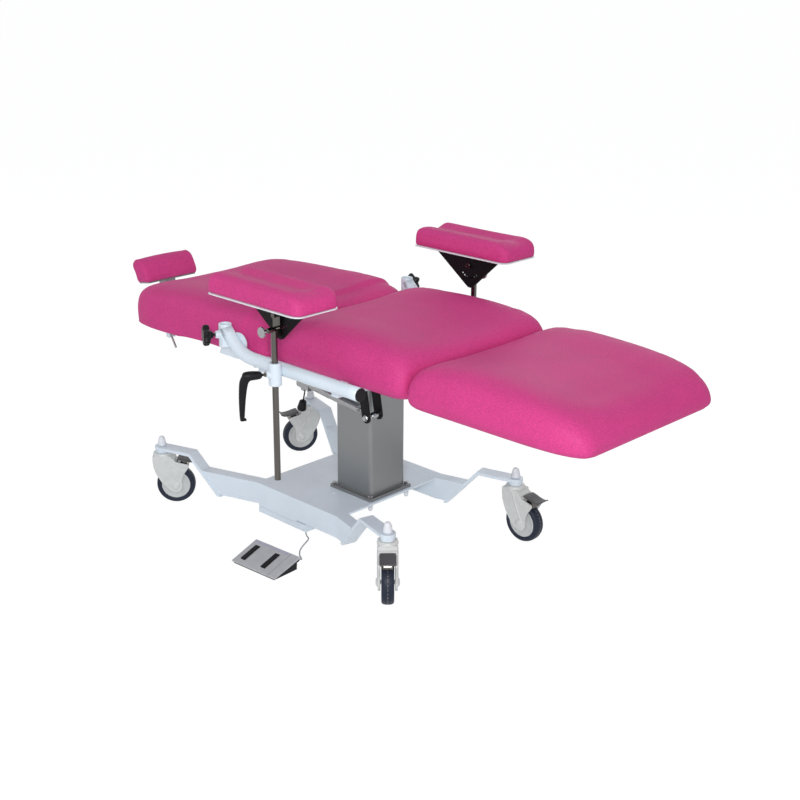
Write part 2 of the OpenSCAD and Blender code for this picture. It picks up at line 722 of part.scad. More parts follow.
// stations: position, side inset, underside lift, top drop, share of the hollow
module cushion(stations, thick, roll)
    loft([for (s = stations) full_section(s[0], half_w - s[1], bed_z + s[2], bed_z + thick - s[3],
        hollow * s[4], roll)]);

module back_cushion() color("hotpink") chair() cushion([
    [-back_end, 78, 30, back_t - 44, 0], [-back_end + 2, 62, 19, back_t - 60, 0],
    [-back_end + 8, 46, 9, back_t - 76, 0.05], [-back_end + 20, 29, 3, 44, 0.2],
    [-back_end + 42, 14, 0, 32, 0.5], [-back_end + 78, 5, 0, 24, 0.8],
    [-back_end + 130, 0, 0, 18, 1], [-560, 0, 0, 10, 1],
    [-420, 0, 0, 5, 1], [-300, 0, 0, 1, 1],
    [-225, 0, 0, 2, 0.9], [-205, 1, 0, back_t - 118, 0.7],
    [-186, 3, 0, back_t - 115, 0.5], [-170, 6, 0, back_t - 111.5, 0.3],
    [-156, 10, 0, back_t - 105, 0.15], [-142, 18, 0, back_t - 95, 0.05],
    [-131, 26, 12, back_t - 79, 0], [-125.5, 34, 26, back_t - 65, 0]], back_t, 0.1);

module seat_cushion() color("hotpink") chair() cushion([
    [seat_head + 0.2, 30, 34, 84, 0], [seat_head + 1.6, 21, 22, 70, 0],
    [seat_head + 6, 13, 10, 55, 0.05], [seat_head + 16, 7, 2, 41, 0.2],
    [seat_head + 33, 2, 0, 28, 0.5], [seat_head + 55, 0, 0, 20, 0.8],
    [seat_head + 90, 0, 0, 13, 1], [50, 0, 0, 5, 1],
    [190, 0, 0, 0, 1], [seat_foot - 90, 0, 0, 8, 1],
    [seat_foot - 58, 1, 0, 14, 0.8], [seat_foot - 34, 4, 2, 22, 0.5],
    [seat_foot - 16, 10, 7, 34, 0.2], [seat_foot - 6, 17, 15, 46, 0.05],
    [seat_foot - 1.6, 24, 25, 58, 0], [seat_foot, 32, 36, 70, 0]], seat_t, 1.7);

module leg_cushion() color("hotpink") chair() cushion([
    [hinge_x, 40, 34, 84, 0], [hinge_x + 1.6, 30, 22, 68, 0],
    [hinge_x + 6, 21, 11, 53, 0.05], [hinge_x + 16, 11, 3, 38, 0.2],
    [hinge_x + 34, 4, 0, 24, 0.5], [hinge_x + 58, 1, 0, 16, 0.8],
    [hinge_x + 95, 0, 0, 10, 1], [620, 0, 0, 2, 1],
    [720, 0, 0, 5, 1], [hinge_x + leg_len - 180, 1, 0, 14, 1],
    [hinge_x + leg_len - 120, 5, 0, 24, 1], [hinge_x + leg_len - 82, 11, 0, 33, 0.8],
    [hinge_x + leg_len - 50, 21, 0, 46, 0.5], [hinge_x + leg_len - 26, 32, 1, 61, 0.25],
    [hinge_x + leg_len - 10, 44, 4, 77, 0.05], [hinge_x + leg_len - 2.5, 56, 10, 89, 0],
    [hinge_x + leg_len, 66, 20, 97, 0]], leg_t, 1);

// headrest

// outline of the pad's end, leaning back, grown by share g
head_outline = [[-24, 0], [24, 0], [30, 3], [31, 14], [26, 34], [18, 56], [9, 70], [-3, 77], [-18, 78],
    [-34, 74], [-43, 65], [-44, 52], [-38, 32],
    [-32, 12], [-29, 3]];

function head_ring(y, g) = [for (p = head_outline) [(p[0] + 6) * g - 6, y,
    max(0, 34 + (p[1] - 34) * g * head_t / 78)]];

module head_pad() color("hotpink") chair() translate([head_x, 0, head_z]) rotate([0, -head_tilt, 0]) {
    h = head_w / 2;
    loft([for (r = [[-h, 0.80], [-h + 3, 0.90], [-h + 9, 0.965], [-h + 22, 1], [-40, 1.03], [0, 1.04],
        [40, 1.03], [h - 22, 1], [h - 9, 0.965],
        [h - 3, 0.90], [h, 0.80]]) head_ring(r[0], r[1])]);
}

module head_bracket() color("silver") chair() {
    translate([head_x, 0, head_z]) rotate([0, -head_tilt, 0]) translate([0, 0, -5 - 0.05])
        linear_extrude(5)
        square([56, head_w - 14], center = true);
    difference() {
        translate([head_x - 22, -20, bar_z]) cube([40, 40, head_z + 6 - bar_z]);
        translate([head_x, 0, head_z]) rotate([0, -head_tilt, 0]) translate([-60, -60, -3]) cube(120);
    }
    translate([head_x - 22, -20, bar_z]) cube([-610 - head_x + 22, 40, 10]);
}

// armrests, drawn on the patient's left

module arm_post() difference() {
    union() {
        translate([collar_x, post_y, post_top - post_len]) cylinder(r = post_r, h = post_len);
        translate([collar_x - 6, lug_y - 1, post_top - 18]) cube([12, 8, 18]);
        upright(lug_y - lug_t / 2 + 0.2, lug_t) link([collar_x, post_top - 5], [collar_x, pivot_z + 3],
            30);
        translate([collar_x, lug_y + 16, index_z]) along_y(33) cylinder(r = 7.5, h = 33);
        translate([collar_x, lug_y + 6, pivot_z]) along_y(14) cylinder(r = 7.6, h = 14);
        translate([collar_x, lug_y - 12, pivot_z]) along_y(36) cylinder(r = 4, h = 36);
        translate([collar_x, plate_y - 4 - gap - 4, pivot_z]) along_y(8) cylinder(r = 7.6, h = 8);
    }
    translate([collar_x, lug_y + 20, index_z]) along_y(80) cylinder(r = index_pin + running, h = 80);
}

module arm_plunger() {
    translate([collar_x, lug_y - lug_t + 28, index_z]) along_y(55) cylinder(r = index_pin, h = 55);
    translate([collar_x, lug_y + 44, index_z]) along_y(14) cylinder(r = 5, h = 14);
    translate([collar_x, lug_y + 52.5, index_z]) along_y(5) cylinder(r = 15, h = 5);
}

module arm_bracket() {
    top = pad_z - 4;
    difference() {
        upright(plate_y - 2, 4) {
            translate([collar_x + 3, 742]) circle(r = 20);
            polygon([[collar_x - 14, 753], [collar_x - 122, top], [collar_x - 122, pad_z],
                [collar_x + 126, pad_z], [collar_x + 126, top], [collar_x + 20, 753],
                [collar_x + 18, 729], [collar_x - 12, 729]]);
        }
        translate([collar_x, plate_y, pivot_z]) along_y(40) cylinder(r = 4 + running, h = 40);
        for (a = [-45:15:45]) translate([collar_x + index_r * sin(a), plate_y,
            pivot_z - index_r * cos(a)]) along_y(40) cylinder(r = index_pin + 0.2, h = 40);
    }
    translate([collar_x - 122, plate_y - 34, pad_z - 4]) cube([248, 34, 4]);
}

module arm_board() translate([pad_x, post_y, pad_z]) rounded_box([pad_len - 4, pad_w - 4,
    board_arm_t - 0.05], 22);

function pad_profile() = [[-0.94, 0], [-0.985, 0.08], [-1, 0.4], [-0.95, 0.74], [-0.84, 0.93], [-0.68, 1],
    [-0.5, 0.97], [-0.32, 0.8], [-0.12, 0.66], [0.12, 0.66],
    [0.32, 0.8], [0.5, 0.97], [0.68, 1], [0.84, 0.93], [0.95, 0.74], [1, 0.4], [0.985, 0.08], [0.94, 0]];

// rows: position, side inset, top drop
module arm_pad() translate([pad_x, post_y, pad_z + board_arm_t]) {
    e = pad_len / 2;
    loft([for (r = [[-e, 20, 22], [-e + 1.5, 13, 12], [-e + 5, 7, 6], [-e + 12, 2.5, 2], [-e + 26, 0, 0],
        [-60, 0, 0], [60, 0, 0], [e - 70, 0, 0], [e - 40, 0.5, 2],
        [e - 20, 4, 8], [e - 8, 10, 17], [e - 2, 17, 26], [e, 24, 34]])
            [for (p = pad_profile()) [r[0], -p[0] * (pad_w / 2 - r[1]), p[1] * (pad_t - r[2])]]]);
}

module arm_post_right() color("silver") chair() mirrored() arm_post();
module arm_post_left() color("silver") chair() arm_post();
module arm_bracket_right() color("black") chair() mirrored() arm_bracket();
module arm_bracket_left() color("black") chair() arm_bracket();
module arm_board_right() color("white") chair() mirrored() arm_board();
module arm_board_left() color("white") chair() arm_board();
module arm_pad_right() color("hotpink") chair() mirrored() arm_pad();
module arm_pad_left() color("hotpink") chair() arm_pad();
module arm_plunger_right() color("silver") chair() mirrored() arm_plunger();
module arm_plunger_left() color("silver") chair() arm_plunger();

// clamping lever: a stud, a hub and a bent arm that hangs down
module clamp_lever() translate([collar_x, post_y, clamp_z]) rotate([0, 0, stud_turn]) {
    rotate([0, 90, 0]) translate([0, 0, post_r + 3]) cylinder(r = stud_r, h = 28);
    rotate([0, 90, 0]) translate([0, 0, 36]) cylinder(r1 = 8, r2 = 11, h = 6);
    rotate([0, 90, 0]) translate([0, 0, 42]) cylinder(r1 = 11, r2 = 13, h = 22);
    upright(0, 20) polygon([[46, -11], [46, 10], [72, 13], [84, 9], [90, -1], [93, -16], [96, -40],
        [99, -66], [101, -92], [102, -127], [99, -131], [90, -130],
        [88, -124], [86, -98], [81, -66], [74, -36], [66, -18], [60, -12]]);
}

module clamp_lever_right() color("black") chair() mirrored() clamp_lever();
module clamp_lever_left() color("black") chair() clamp_lever();

// star knob with its stud
module star_knob() translate([socket_x, tube_y, knob_z]) rotate([0, 0, stud_turn]) rotate([0, 90, 0]) {
    translate([0, 0, socket_bore / 2 + 0.6]) cylinder(r = stud_r, h = 34);
    translate([0, 0, tube_d / 2 + 17]) cylinder(r1 = 9, r2 = 14, h = 12);
    translate([0, 0, tube_d / 2 + 27]) linear_extrude(19) {
        circle(r = 24);
        for (a = [0:60:300]) rotate(a) translate([23, 0]) circle(r = 9);
    }
    translate([0, 0, tube_d / 2 + 46]) cylinder(r1 = 22, r2 = 18, h = 4);
}

module star_knob_right() color("black") chair() mirrored() star_knob();
module star_knob_left() color("black") chair() star_knob();

// foot control, a low wedge with two long pedals

module at_control() chair() translate([control_at[0], control_at[1], 0]) rotate([0, 0, control_turn])
    children();

module wedge(points, w) rotate([90, 0, 90]) translate([0, 0, -w / 2]) linear_extrude(w) polygon(points);

module foot_top() color("gray") at_control() {
    d = control_d / 2;
    slope = atan2(control_rear - control_front, control_d);
    difference() {
        wedge([[-d + 1, 6], [-d, 8], [-d + 1, control_front], [d - 3, control_rear],
            [d, control_rear - 1], [d, control_rear - 7], [d - 3, control_rear - 8.5]], control_w);
        for (x = [-62, 22]) translate([x - 9, -34, 0]) cube([18, 66, 60]);
        translate([control_w / 2 - 38, -60, control_front - 1.4]) rotate([slope, 0, 0])
            translate([0, 0, 0]) cube([1, 140, 8]);
    }
}

module foot_base() color("black") at_control() difference() {
    union() {
        wedge([[-46, 0], [-50, 3], [-49, 6.55], [49, 33.5], [47, 0]], control_w - 16);
        translate([plug_at[0], control_d / 2 - 8, plug_at[1]]) rotate([-90, 0, 0])
            cylinder(r1 = 6, r2 = 4.2, h = 15);
    }
    for (x = [-62, 22]) translate([x - 9.6, -34.6, 9.4]) rotate([16.4, 0, 0]) cube([19.2, 70, 30]);
}

module foot_pedal(x) difference() {
    union() {
        translate([x, 0, 0]) wedge([[-33.4, 10], [-33.4, 18.2], [28, 37.3], [31.4, 35], [31.4, 31]], 17);
        translate([x - 8.5, pedal_hinge[0], pedal_hinge[1]]) rotate([0, 90, 0]) cylinder(r = 2.6, h = 17);
    }
    translate([x, 0, 0]) translate([0, -40, -9.5]) rotate([16.4, 0, 0]) translate([-20, 0, 10])
        cube([40, 90, 10]);
}

module foot_pedal_right() color("black") at_control() foot_pedal(22);
module foot_pedal_left() color("black") at_control() foot_pedal(-62);

// thin cable from the tray's gland to the rear of the foot control
plug_mouth = [control_at[0] + plug_at[0] * cos(control_turn) - (control_d / 2 + 7) * sin(control_turn),
    control_at[1] + plug_at[0] * sin(control_turn) + (control_d / 2 + 7) * cos(control_turn), plug_at[1]];
plug_way = [-sin(control_turn), cos(control_turn), 0];
cable_points = [[gland[0], gland[1], gland_z], [gland[0], gland[1], gland_z - 6], [-74, -206, 26],
    [-66, -208, 14], [-54, -212, 6], [-46, -220, 3.2], [-44, -234, 2.8],
    [-46, -250, 2.6], [-42, -266, 2.6], [-28, -282, 2.8], [-6, -296, 4], [18, -308, 8], [34, -320, 15],
        plug_mouth + 8 * plug_way, plug_mouth];
cable_steps = 3;
cable_path = concat([cable_points[0]], [for (i = [1:len(cable_points) - 3]) for (t = [0:cable_steps - 1])
    curve(cable_points, i, t / cable_steps)],
    [cable_points[len(cable_points) - 2], cable_points[len(cable_points) - 1]]);

// smooth curve through the chosen points
function curve(p, i, t) = let (a = p[i - 1], b = p[i], c = p[i + 1], d = p[i + 2])
    0.5 * (2 * b + (c - a) * t + (2 * a - 5 * b + 4 * c - d) * t * t + (3 * b - 3 * c + d - a)
        * t * t * t);

function cable_way(i) = let (last = len(cable_path) - 1, d =
    cable_path[min(last, i + 1)] - cable_path[max(0, i - 1)]) d / norm(d);

// sideways direction carried along the cable without twisting
function cable_side(i) = let (u = i == 0 ? [1, 0, 0] : cable_side(i - 1), d = cable_way(i), v =
    u - (u * d) * d) v / norm(v);

function cable_ring(i) = let (d = cable_way(i), u = cable_side(i), v = cross(d, u))
    [for (k = [0:7]) cable_path[i] + cable_r * (cos(45 * k) * u + sin(45 * k) * v)];

module foot_cable() color("gray") chair() loft([for (i = [0:len(cable_path) - 1]) cable_ring(i)]);

base_frame();
caster_bars();
caster_caps();
control_tray();
column_cover();
flange_bolts();
foot_base();
foot_top();
foot_pedal_left();
foot_pedal_right();
foot_cable();
fork_head_right();
fork_foot_right();
fork_foot_left();
fork_head_left();
brake_head_right();
brake_foot_right();
brake_foot_left();
brake_head_left();
hub_head_right();
hub_foot_right();
hub_foot_left();
hub_head_left();
tyre_head_right();
tyre_foot_right();
tyre_foot_left();
tyre_head_left();
lift_column();
seat_frame();
side_tubes();
tube_plugs();
seat_cushion();
spring_hangers();
hanger_bolt();
back_frame();
back_board();
back_cushion();
leg_frame();
leg_board();
leg_cushion();
head_pad();
head_bracket();
release_lever();
arm_post_right();
arm_post_left();
arm_bracket_right();
arm_bracket_left();
arm_board_right();
arm_board_left();
arm_pad_right();
arm_pad_left();
arm_plunger_right();
arm_plunger_left();
clamp_lever_right();
clamp_lever_left();
star_knob_right();
star_knob_left();
gas_rod();
gas_tube();
release_knob();
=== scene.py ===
import json
import math

import bmesh
import bpy
import numpy as np
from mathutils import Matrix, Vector


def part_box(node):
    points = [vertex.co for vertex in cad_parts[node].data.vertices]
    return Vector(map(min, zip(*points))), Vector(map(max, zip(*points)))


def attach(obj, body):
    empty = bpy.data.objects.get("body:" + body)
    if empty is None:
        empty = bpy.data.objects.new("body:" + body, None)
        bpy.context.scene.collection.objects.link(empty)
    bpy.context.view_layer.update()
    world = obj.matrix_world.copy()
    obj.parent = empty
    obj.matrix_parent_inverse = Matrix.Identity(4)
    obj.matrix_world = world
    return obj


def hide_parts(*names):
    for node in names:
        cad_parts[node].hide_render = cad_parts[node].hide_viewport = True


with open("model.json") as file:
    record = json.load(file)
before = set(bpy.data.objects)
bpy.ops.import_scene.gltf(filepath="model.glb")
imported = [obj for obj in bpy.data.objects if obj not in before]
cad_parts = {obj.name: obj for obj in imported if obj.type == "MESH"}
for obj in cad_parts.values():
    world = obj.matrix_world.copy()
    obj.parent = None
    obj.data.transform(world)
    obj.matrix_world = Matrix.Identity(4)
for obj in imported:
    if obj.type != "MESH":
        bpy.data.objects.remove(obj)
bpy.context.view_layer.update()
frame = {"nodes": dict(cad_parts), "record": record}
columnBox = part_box("column_cover")
shiftX = (columnBox[0].x + columnBox[1].x) / 2      # the column's middle, where the sizes below count from


# --- small helpers -------------------------------------------------

def toRow(pts):
    # millimetres from the column's middle on the floor, to metres in the row's frame
    return np.asarray(pts, float) / 1000 + np.array([shiftX, 0, 0])


def shadeSmooth(mesh, smooth=True):
    mesh.polygons.foreach_set("use_smooth", [smooth] * len(mesh.polygons))


def placed(name, data):
    obj = bpy.data.objects.new(name, data)
    bpy.context.scene.collection.objects.link(obj)
    return obj


def inLook(obj, *names):
    # gives a mesh these looks in place of its own
    obj.data.materials.clear()
    for name in names:
        obj.data.materials.append(looks[name])


def newPiece(name, verts, faces, body, slot, look=None, smooth=True):
    # one mesh object from an array of points and a list of faces, riding on a CAD body, in its slot's look
    mesh = bpy.data.meshes.new(name)
    mesh.from_pydata(np.asarray(verts, float).tolist(), [], [list(map(int, f)) for f in faces])
    mesh.update()
    shadeSmooth(mesh, smooth)
    obj = placed(name, mesh)
    inLook(obj, look or slot)
    if body:
        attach(obj, body)
    return obj


def standIn(obj, body, node):
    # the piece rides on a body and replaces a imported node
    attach(obj, body)
    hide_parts(node)


def gridFaces(rows, cols, wrapRows=False, wrapCols=True):
    # quads of a rows x cols grid, wound to face outward when the columns turn right-handed about the rows
    r = np.arange(rows if wrapRows else rows - 1)
    c = np.arange(cols if wrapCols else cols - 1)
    r, c = np.meshgrid(r, c, indexing="ij")
    r2 = (r + 1) % rows
    c2 = (c + 1) % cols
    return np.stack([r * cols + c, r * cols + c2, r2 * cols + c2, r2 * cols + c], -1).reshape(-1, 4)


def closedLoft(rings):
    # rings: n x m x 3 points; the skin between them plus a cap at each end drawn in to its middle point
    rings = np.asarray(rings, float)
    n, m = rings.shape[:2]
    verts = np.concatenate([rings.reshape(-1, 3), rings[0].mean(0)[None], rings[-1].mean(0)[None]])
    faces = gridFaces(n, m).tolist()
    a, b = n * m, n * m + 1
    faces += [[a, (j + 1) % m, j] for j in range(m)]
    faces += [[b, (n - 1) * m + j, (n - 1) * m + (j + 1) % m] for j in range(m)]
    return verts, faces


def reworked(obj, work):
    # lets work change the object's mesh through bmesh
    bm = bmesh.new()
    bm.from_mesh(obj.data)
    work(bm)
    bm.to_mesh(obj.data)
    bm.free()
    return obj


def outward(obj):
    # turns the faces outward on a closed mesh
    def work(bm):
        bmesh.ops.remove_doubles(bm, verts=bm.verts, dist=1e-6)
        bmesh.ops.recalc_face_normals(bm, faces=bm.faces)
    return reworked(obj, work)


def loftPiece(name, rings, body, slot, look=None, smooth=True):
    verts, faces = closedLoft(rings)
    return outward(newPiece(name, verts, faces, body, slot, look, smooth))


def angles(count):
    return np.linspace(0, 2 * np.pi, count, endpoint=False)


def roundIn(u, v, count):
    # unit circle in the plane of u and v
    a = angles(count)
    return np.cos(a)[:, None] * u + np.sin(a)[:, None] * v


def unit(v):
    return v / np.linalg.norm(v)


def units(rows):
    return rows / np.linalg.norm(rows, axis=1, keepdims=True)


def basis(direction):
    # a direction's unit vector and two more square to it
    d = unit(np.asarray(direction, float))
    ref = np.array([0, 0, 1.0]) if abs(d[2]) < 0.9 else np.array([1.0, 0, 0])
    u = unit(np.cross(ref, d))
    return d, u, np.cross(d, u)


def turned(name, profile, at, direction, body, slot, look=None, around=48, smooth=True):
    # surface of revolution from rows of (h, r) in millimetres: at + h d + r (cos a u + sin a v)
    d, u, v = basis(direction)
    prof = np.asarray(profile, float) / 1000
    ring = roundIn(u, v, around)
    pts = np.asarray(at)[None, None] + prof[:, 0, None, None] * d + prof[:, 1, None, None] * ring[None]
    return loftPiece(name, pts, body, slot, look, smooth)


def spline(a, b, c, d, t):
    # Catmull-Rom span from b to c
    squares, cubes = 2 * a - 5 * b + 4 * c - d, 3 * b - 3 * c + d - a
    return 0.5 * (2 * b + (c - a) * t + squares * t ** 2 + cubes * t ** 3)


def smoothPath(points, steps):
    # open Catmull-Rom curve through the points
    p = np.asarray(points, float)
    ext = np.concatenate([2 * p[:1] - p[1:2], p, 2 * p[-1:] - p[-2:-1]])
    t = (np.arange(steps) / steps)[None, :, None]
    q = spline(*(ext[i:len(p) - 1 + i, None, :] for i in range(4)), t)
    return np.concatenate([q.reshape(-1, p.shape[1]), p[-1:]])


def closedCurve(points, steps):
    # closed Catmull-Rom curve through the points
    p = np.asarray(points, float)
    t = (np.arange(steps) / steps)[None, :, None]
    return spline(*(np.roll(p, k, 0)[:, None] for k in (1, 0, -1, -2)), t).reshape(-1, p.shape[1])


def quarter(s, run, rise, power=2.0):
    # superellipse quarter: an edge's drop at distance s from its end, from rise at 0 to nothing at run
    k = np.clip(1 - s / run, 0, 1)
    return rise * (1 - (1 - k ** power) ** (1 / power))


def readPoints(mesh):
    co = np.empty(len(mesh.vertices) * 3)
    mesh.vertices.foreach_get("co", co)
    return co.reshape(-1, 3)


def writePoints(mesh, co):
    mesh.vertices.foreach_set("co", co.ravel())
    mesh.update()


def modifier(obj, kind, **values):
    mod = obj.modifiers.new(kind.lower(), kind)
    for key, value in values.items():
        setattr(mod, key, value)
    return mod


def applyModifiers(obj):
    # the evaluated mesh takes the place of the object's own
    bpy.context.view_layer.update()
    graph = bpy.context.evaluated_depsgraph_get()
    mesh = bpy.data.meshes.new_from_object(obj.evaluated_get(graph))
    old = obj.data
    mats = list(old.materials)
    obj.modifiers.clear()
    obj.data = mesh
    mesh.materials.clear()
    for m in mats:
        mesh.materials.append(m)
    bpy.data.meshes.remove(old)


# --- camera --------------------------------------------------------

cameraSet = {"place": (2731.2, -2696.5, 1789.2), "yaw": 45.06, "down": 18.78, "lens": 60.4,
             "shift": (0.02851, -0.02209)}

camData = bpy.data.cameras.new("camera")
cam = placed("camera", camData)
yaw, down = math.radians(cameraSet["yaw"]), math.radians(cameraSet["down"])
cam.location = Vector(toRow(cameraSet["place"]))
back = Vector((math.sin(yaw) * math.cos(down), -math.cos(yaw) * math.cos(down), math.sin(down)))
cam.rotation_euler = (-back).to_track_quat("-Z", "Y").to_euler()
camData.lens = cameraSet["lens"]
camData.sensor_width = 36
camData.shift_x, camData.shift_y = cameraSet["shift"]
camData.clip_start, camData.clip_end = 0.05, 300
bpy.context.scene.camera = cam
print("camera placed")


# --- materials -----------------------------------------------------

def material(name):
    m = bpy.data.materials.new(name)
    m.use_nodes = True
    nt = m.node_tree
    coords = nt.nodes.new("ShaderNodeTexCoord")
    return m, nt, nt.nodes["Principled BSDF"], coords.outputs["Object"]


def fill(nt, node, **sockets):
    # each socket takes a value, or the output that feeds it; an underscore stands for a space in its name
    for key, value in sockets.items():
        socket = node.inputs[key.replace("_", " ")]
        if isinstance(value, bpy.types.NodeSocket):
            nt.links.new(value, socket)
        else:
            socket.default_value = value
    return node


def newNode(nt, kind, **sockets):
    return fill(nt, nt.nodes.new("ShaderNode" + kind), **sockets)


def noise(nt, vec, scale, detail, rough):
    return newNode(nt, "TexNoise", Scale=scale, Detail=detail, Roughness=rough, Vector=vec).outputs["Fac"]


def ramp(nt, value, stops):
    # colour ramp from (position, colour) stops
    r = newNode(nt, "ValToRGB", Fac=value)
    e = r.color_ramp.elements
    e[0].position, e[0].color = stops[0][0], (*stops[0][1], 1)
    e[1].position, e[1].color = stops[-1][0], (*stops[-1][1], 1)
    for p, c in stops[1:-1]:
        k = e.new(p)
        k.color = (*c, 1)
    return r.outputs["Color"]


def spread(nt, value, lo, hi, fromHi=0.7):
    # maps a noise's middle range to the range lo to hi
    m = newNode(nt, "MapRange", From_Min=0.3, From_Max=fromHi, To_Min=lo, To_Max=hi, Value=value)
    return m.outputs["Result"]


def bumped(nt, shader, height, strength, distance):
    b = newNode(nt, "Bump", Strength=strength, Distance=distance, Height=height)
    fill(nt, shader, Normal=b.outputs["Normal"])


def shade(c, k):
    return tuple(min(1.0, x * k) for x in c)


def tones(nt, fac, colour, stops):
    # ramp by (position, share of the colour)
    return ramp(nt, fac, [(p, shade(colour, k)) for p, k in stops])


def toned(nt, shader, fac, colour, stops, rough, roughTo=0.7):
    # one noise drives the tone, and the roughness between two values
    fill(nt, shader, Base_Color=tones(nt, fac, colour, stops), Roughness=spread(nt, fac, *rough, roughTo))


vinylLook = {"colour": (0.635, 0.058, 0.243), "grain": 900.0, "fleck": 330.0, "roughness": 0.5}


def vinylMaterial():
    # tight upholstery vinyl: fine pebbled grain with darker and paler flecks, softly glossy
    m, nt, sh, vec = material("vinyl")
    flecks = noise(nt, vec, vinylLook["fleck"], 5, 0.7)
    wide = noise(nt, vec, 7.0, 3, 0.5)
    mix = newNode(nt, "Mix")
    mix.data_type = "RGBA"
    mix.blend_type = "MULTIPLY"
    fill(nt, mix, Factor=1.0, A=tones(nt, flecks, vinylLook["colour"], [(0.3, 0.76), (0.5, 1), (0.7, 1.27)]),
         B=ramp(nt, wide, [(0.3, (0.93, 0.93, 0.93)), (0.7, (1, 1, 1))]))
    rough = vinylLook["roughness"]
    fill(nt, sh, Base_Color=mix.outputs["Result"], Roughness=spread(nt, flecks, rough - 0.06, rough + 0.1),
         Specular_IOR_Level=0.1)
    grain = newNode(nt, "TexVoronoi", Scale=vinylLook["grain"], Vector=vec)
    bumped(nt, sh, grain.outputs["Distance"], 0.32, 0.0004)
    return m


def paintMaterial(name, colour, rough, peel=1400.0, dirt=0.06, spec=0.5):
    # powder coat: orange peel in the bump, a slight drift of tone, dust in broad patches
    m, nt, sh, vec = material(name)
    drift = noise(nt, vec, 9.0, 4, 0.6)
    stops = [(0.25, 1 - dirt), (0.6, 1), (0.9, 1.01)]
    toned(nt, sh, drift, colour, stops, (rough + 0.08, rough - 0.04))
    bumped(nt, sh, noise(nt, vec, peel, 2, 0.5), 0.12, 0.0003)
    fill(nt, sh, Specular_IOR_Level=spec)
    return m


def streaks(nt, vec, scale, detail, rough):
    # noise stretched by a scale along each axis
    mapping = newNode(nt, "Mapping", Scale=scale, Vector=vec)
    return noise(nt, mapping.outputs["Vector"], 1.0, detail, rough)


def brushedMaterial(name, colour, rough, scale, tone=(0.8, 1.16)):
    # brushed steel: streaks stretched along one axis in tone, roughness and bump
    m, nt, sh, vec = material(name)
    streak = streaks(nt, vec, scale, 4, 0.65)
    toned(nt, sh, streak, colour, [(0.25, tone[0]), (0.5, 1), (0.78, tone[1])], (rough - 0.05, rough + 0.14))
    bumped(nt, sh, streak, 0.12, 0.0002)
    fill(nt, sh, Metallic=1.0)
    return m


def plasticMaterial(name, colour, rough, spec=0.5):
    # moulded plastic: fine spark-eroded grain, faint mottling, scuffs that change the gloss
    m, nt, sh, vec = material(name)
    mottle = noise(nt, vec, 30.0, 4, 0.6)
    toned(nt, sh, mottle, colour, [(0.25, 0.9), (0.55, 1), (0.85, 1.06)], (rough - 0.05, rough + 0.12), 0.75)
    bumped(nt, sh, noise(nt, vec, 1100.0, 2, 0.6), 0.1, 0.0003)
    fill(nt, sh, Specular_IOR_Level=spec)
    return m


def woodMaterial():
    # plywood: layers seen on the edge, faint grain on the face
    m, nt, sh, vec = material("plywood")
    grain = streaks(nt, vec, (3.0, 60.0, 420.0), 5, 0.6)
    stops = [(0.3, (0.36, 0.24, 0.12)), (0.6, (0.56, 0.4, 0.23)), (0.8, (0.66, 0.5, 0.31))]
    fill(nt, sh, Base_Color=ramp(nt, grain, stops), Roughness=0.65)
    bumped(nt, sh, grain, 0.2, 0.0004)
    return m


evenGrain, fineTone = (90.0, 90.0, 90.0), (0.94, 1.05)
looks = {
    "vinyl": vinylMaterial(),
    "white_coat": paintMaterial("white_coat", (0.7, 0.79, 0.865), 0.34),
    "white_plastic": plasticMaterial("white_plastic", (0.76, 0.79, 0.83), 0.32),
    "steel": brushedMaterial("steel", (0.25, 0.258, 0.262), 0.4, (420.0, 420.0, 3.0), (0.93, 1.05)),
    "chrome": brushedMaterial("chrome", (0.125, 0.118, 0.11), 0.12, (300.0, 300.0, 8.0)),
    "bright_steel": brushedMaterial("bright_steel", (0.36, 0.365, 0.37), 0.14, evenGrain, fineTone),
    "black_plastic": plasticMaterial("black_plastic", (0.01, 0.01, 0.012), 0.34, 0.14),
    "black_metal": paintMaterial("black_metal", (0.008, 0.007, 0.008), 0.36, 1200.0, 0.2, 0.1),
    "hood_plastic": plasticMaterial("hood_plastic", (0.64, 0.66, 0.645), 0.36),
    "pedal_plastic": plasticMaterial("pedal_plastic", (0.085, 0.085, 0.09), 0.42, 0.25),
    "hub_plastic": plasticMaterial("hub_plastic", (0.56, 0.58, 0.58), 0.4),
    "tyre_rubber": plasticMaterial("tyre_rubber", (0.018, 0.024, 0.042), 0.5, 0.2),
    "tread_rubber": plasticMaterial("tread_rubber", (0.4, 0.39, 0.35), 0.6),
    "control_plastic": plasticMaterial("control_plastic", (0.46, 0.475, 0.49), 0.45, 0.3),
    "control_band": plasticMaterial("control_band", (0.42, 0.43, 0.52), 0.45, 0.3),
    "cable_sheath": plasticMaterial("cable_sheath", (0.42, 0.42, 0.43), 0.45),
    "plywood": woodMaterial(),
    "spring_tube": brushedMaterial("spring_tube", (0.34, 0.345, 0.35), 0.36, evenGrain, (0.97, 1.02)),
}
print("materials made:", len(looks))


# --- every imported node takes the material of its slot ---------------

record = frame["record"]
slotOf = {s["node"]: s["material_slot"] for s in record["subparts"]}
bodyOf = {n: b for b, members in record["behaviour"]["bodies"].items() for n in members}
brightNodes = ("hanger_bolt", "arm_plunger_right", "arm_plunger_left", "gas_rod", "release_lever")
for nodeName, nodeObj in frame["nodes"].items():
    inLook(nodeObj, "bright_steel" if nodeName in brightNodes else slotOf[nodeName])
print("packed nodes given materials:", len(frame["nodes"]))


# --- foot control cable ---------------------------------------------

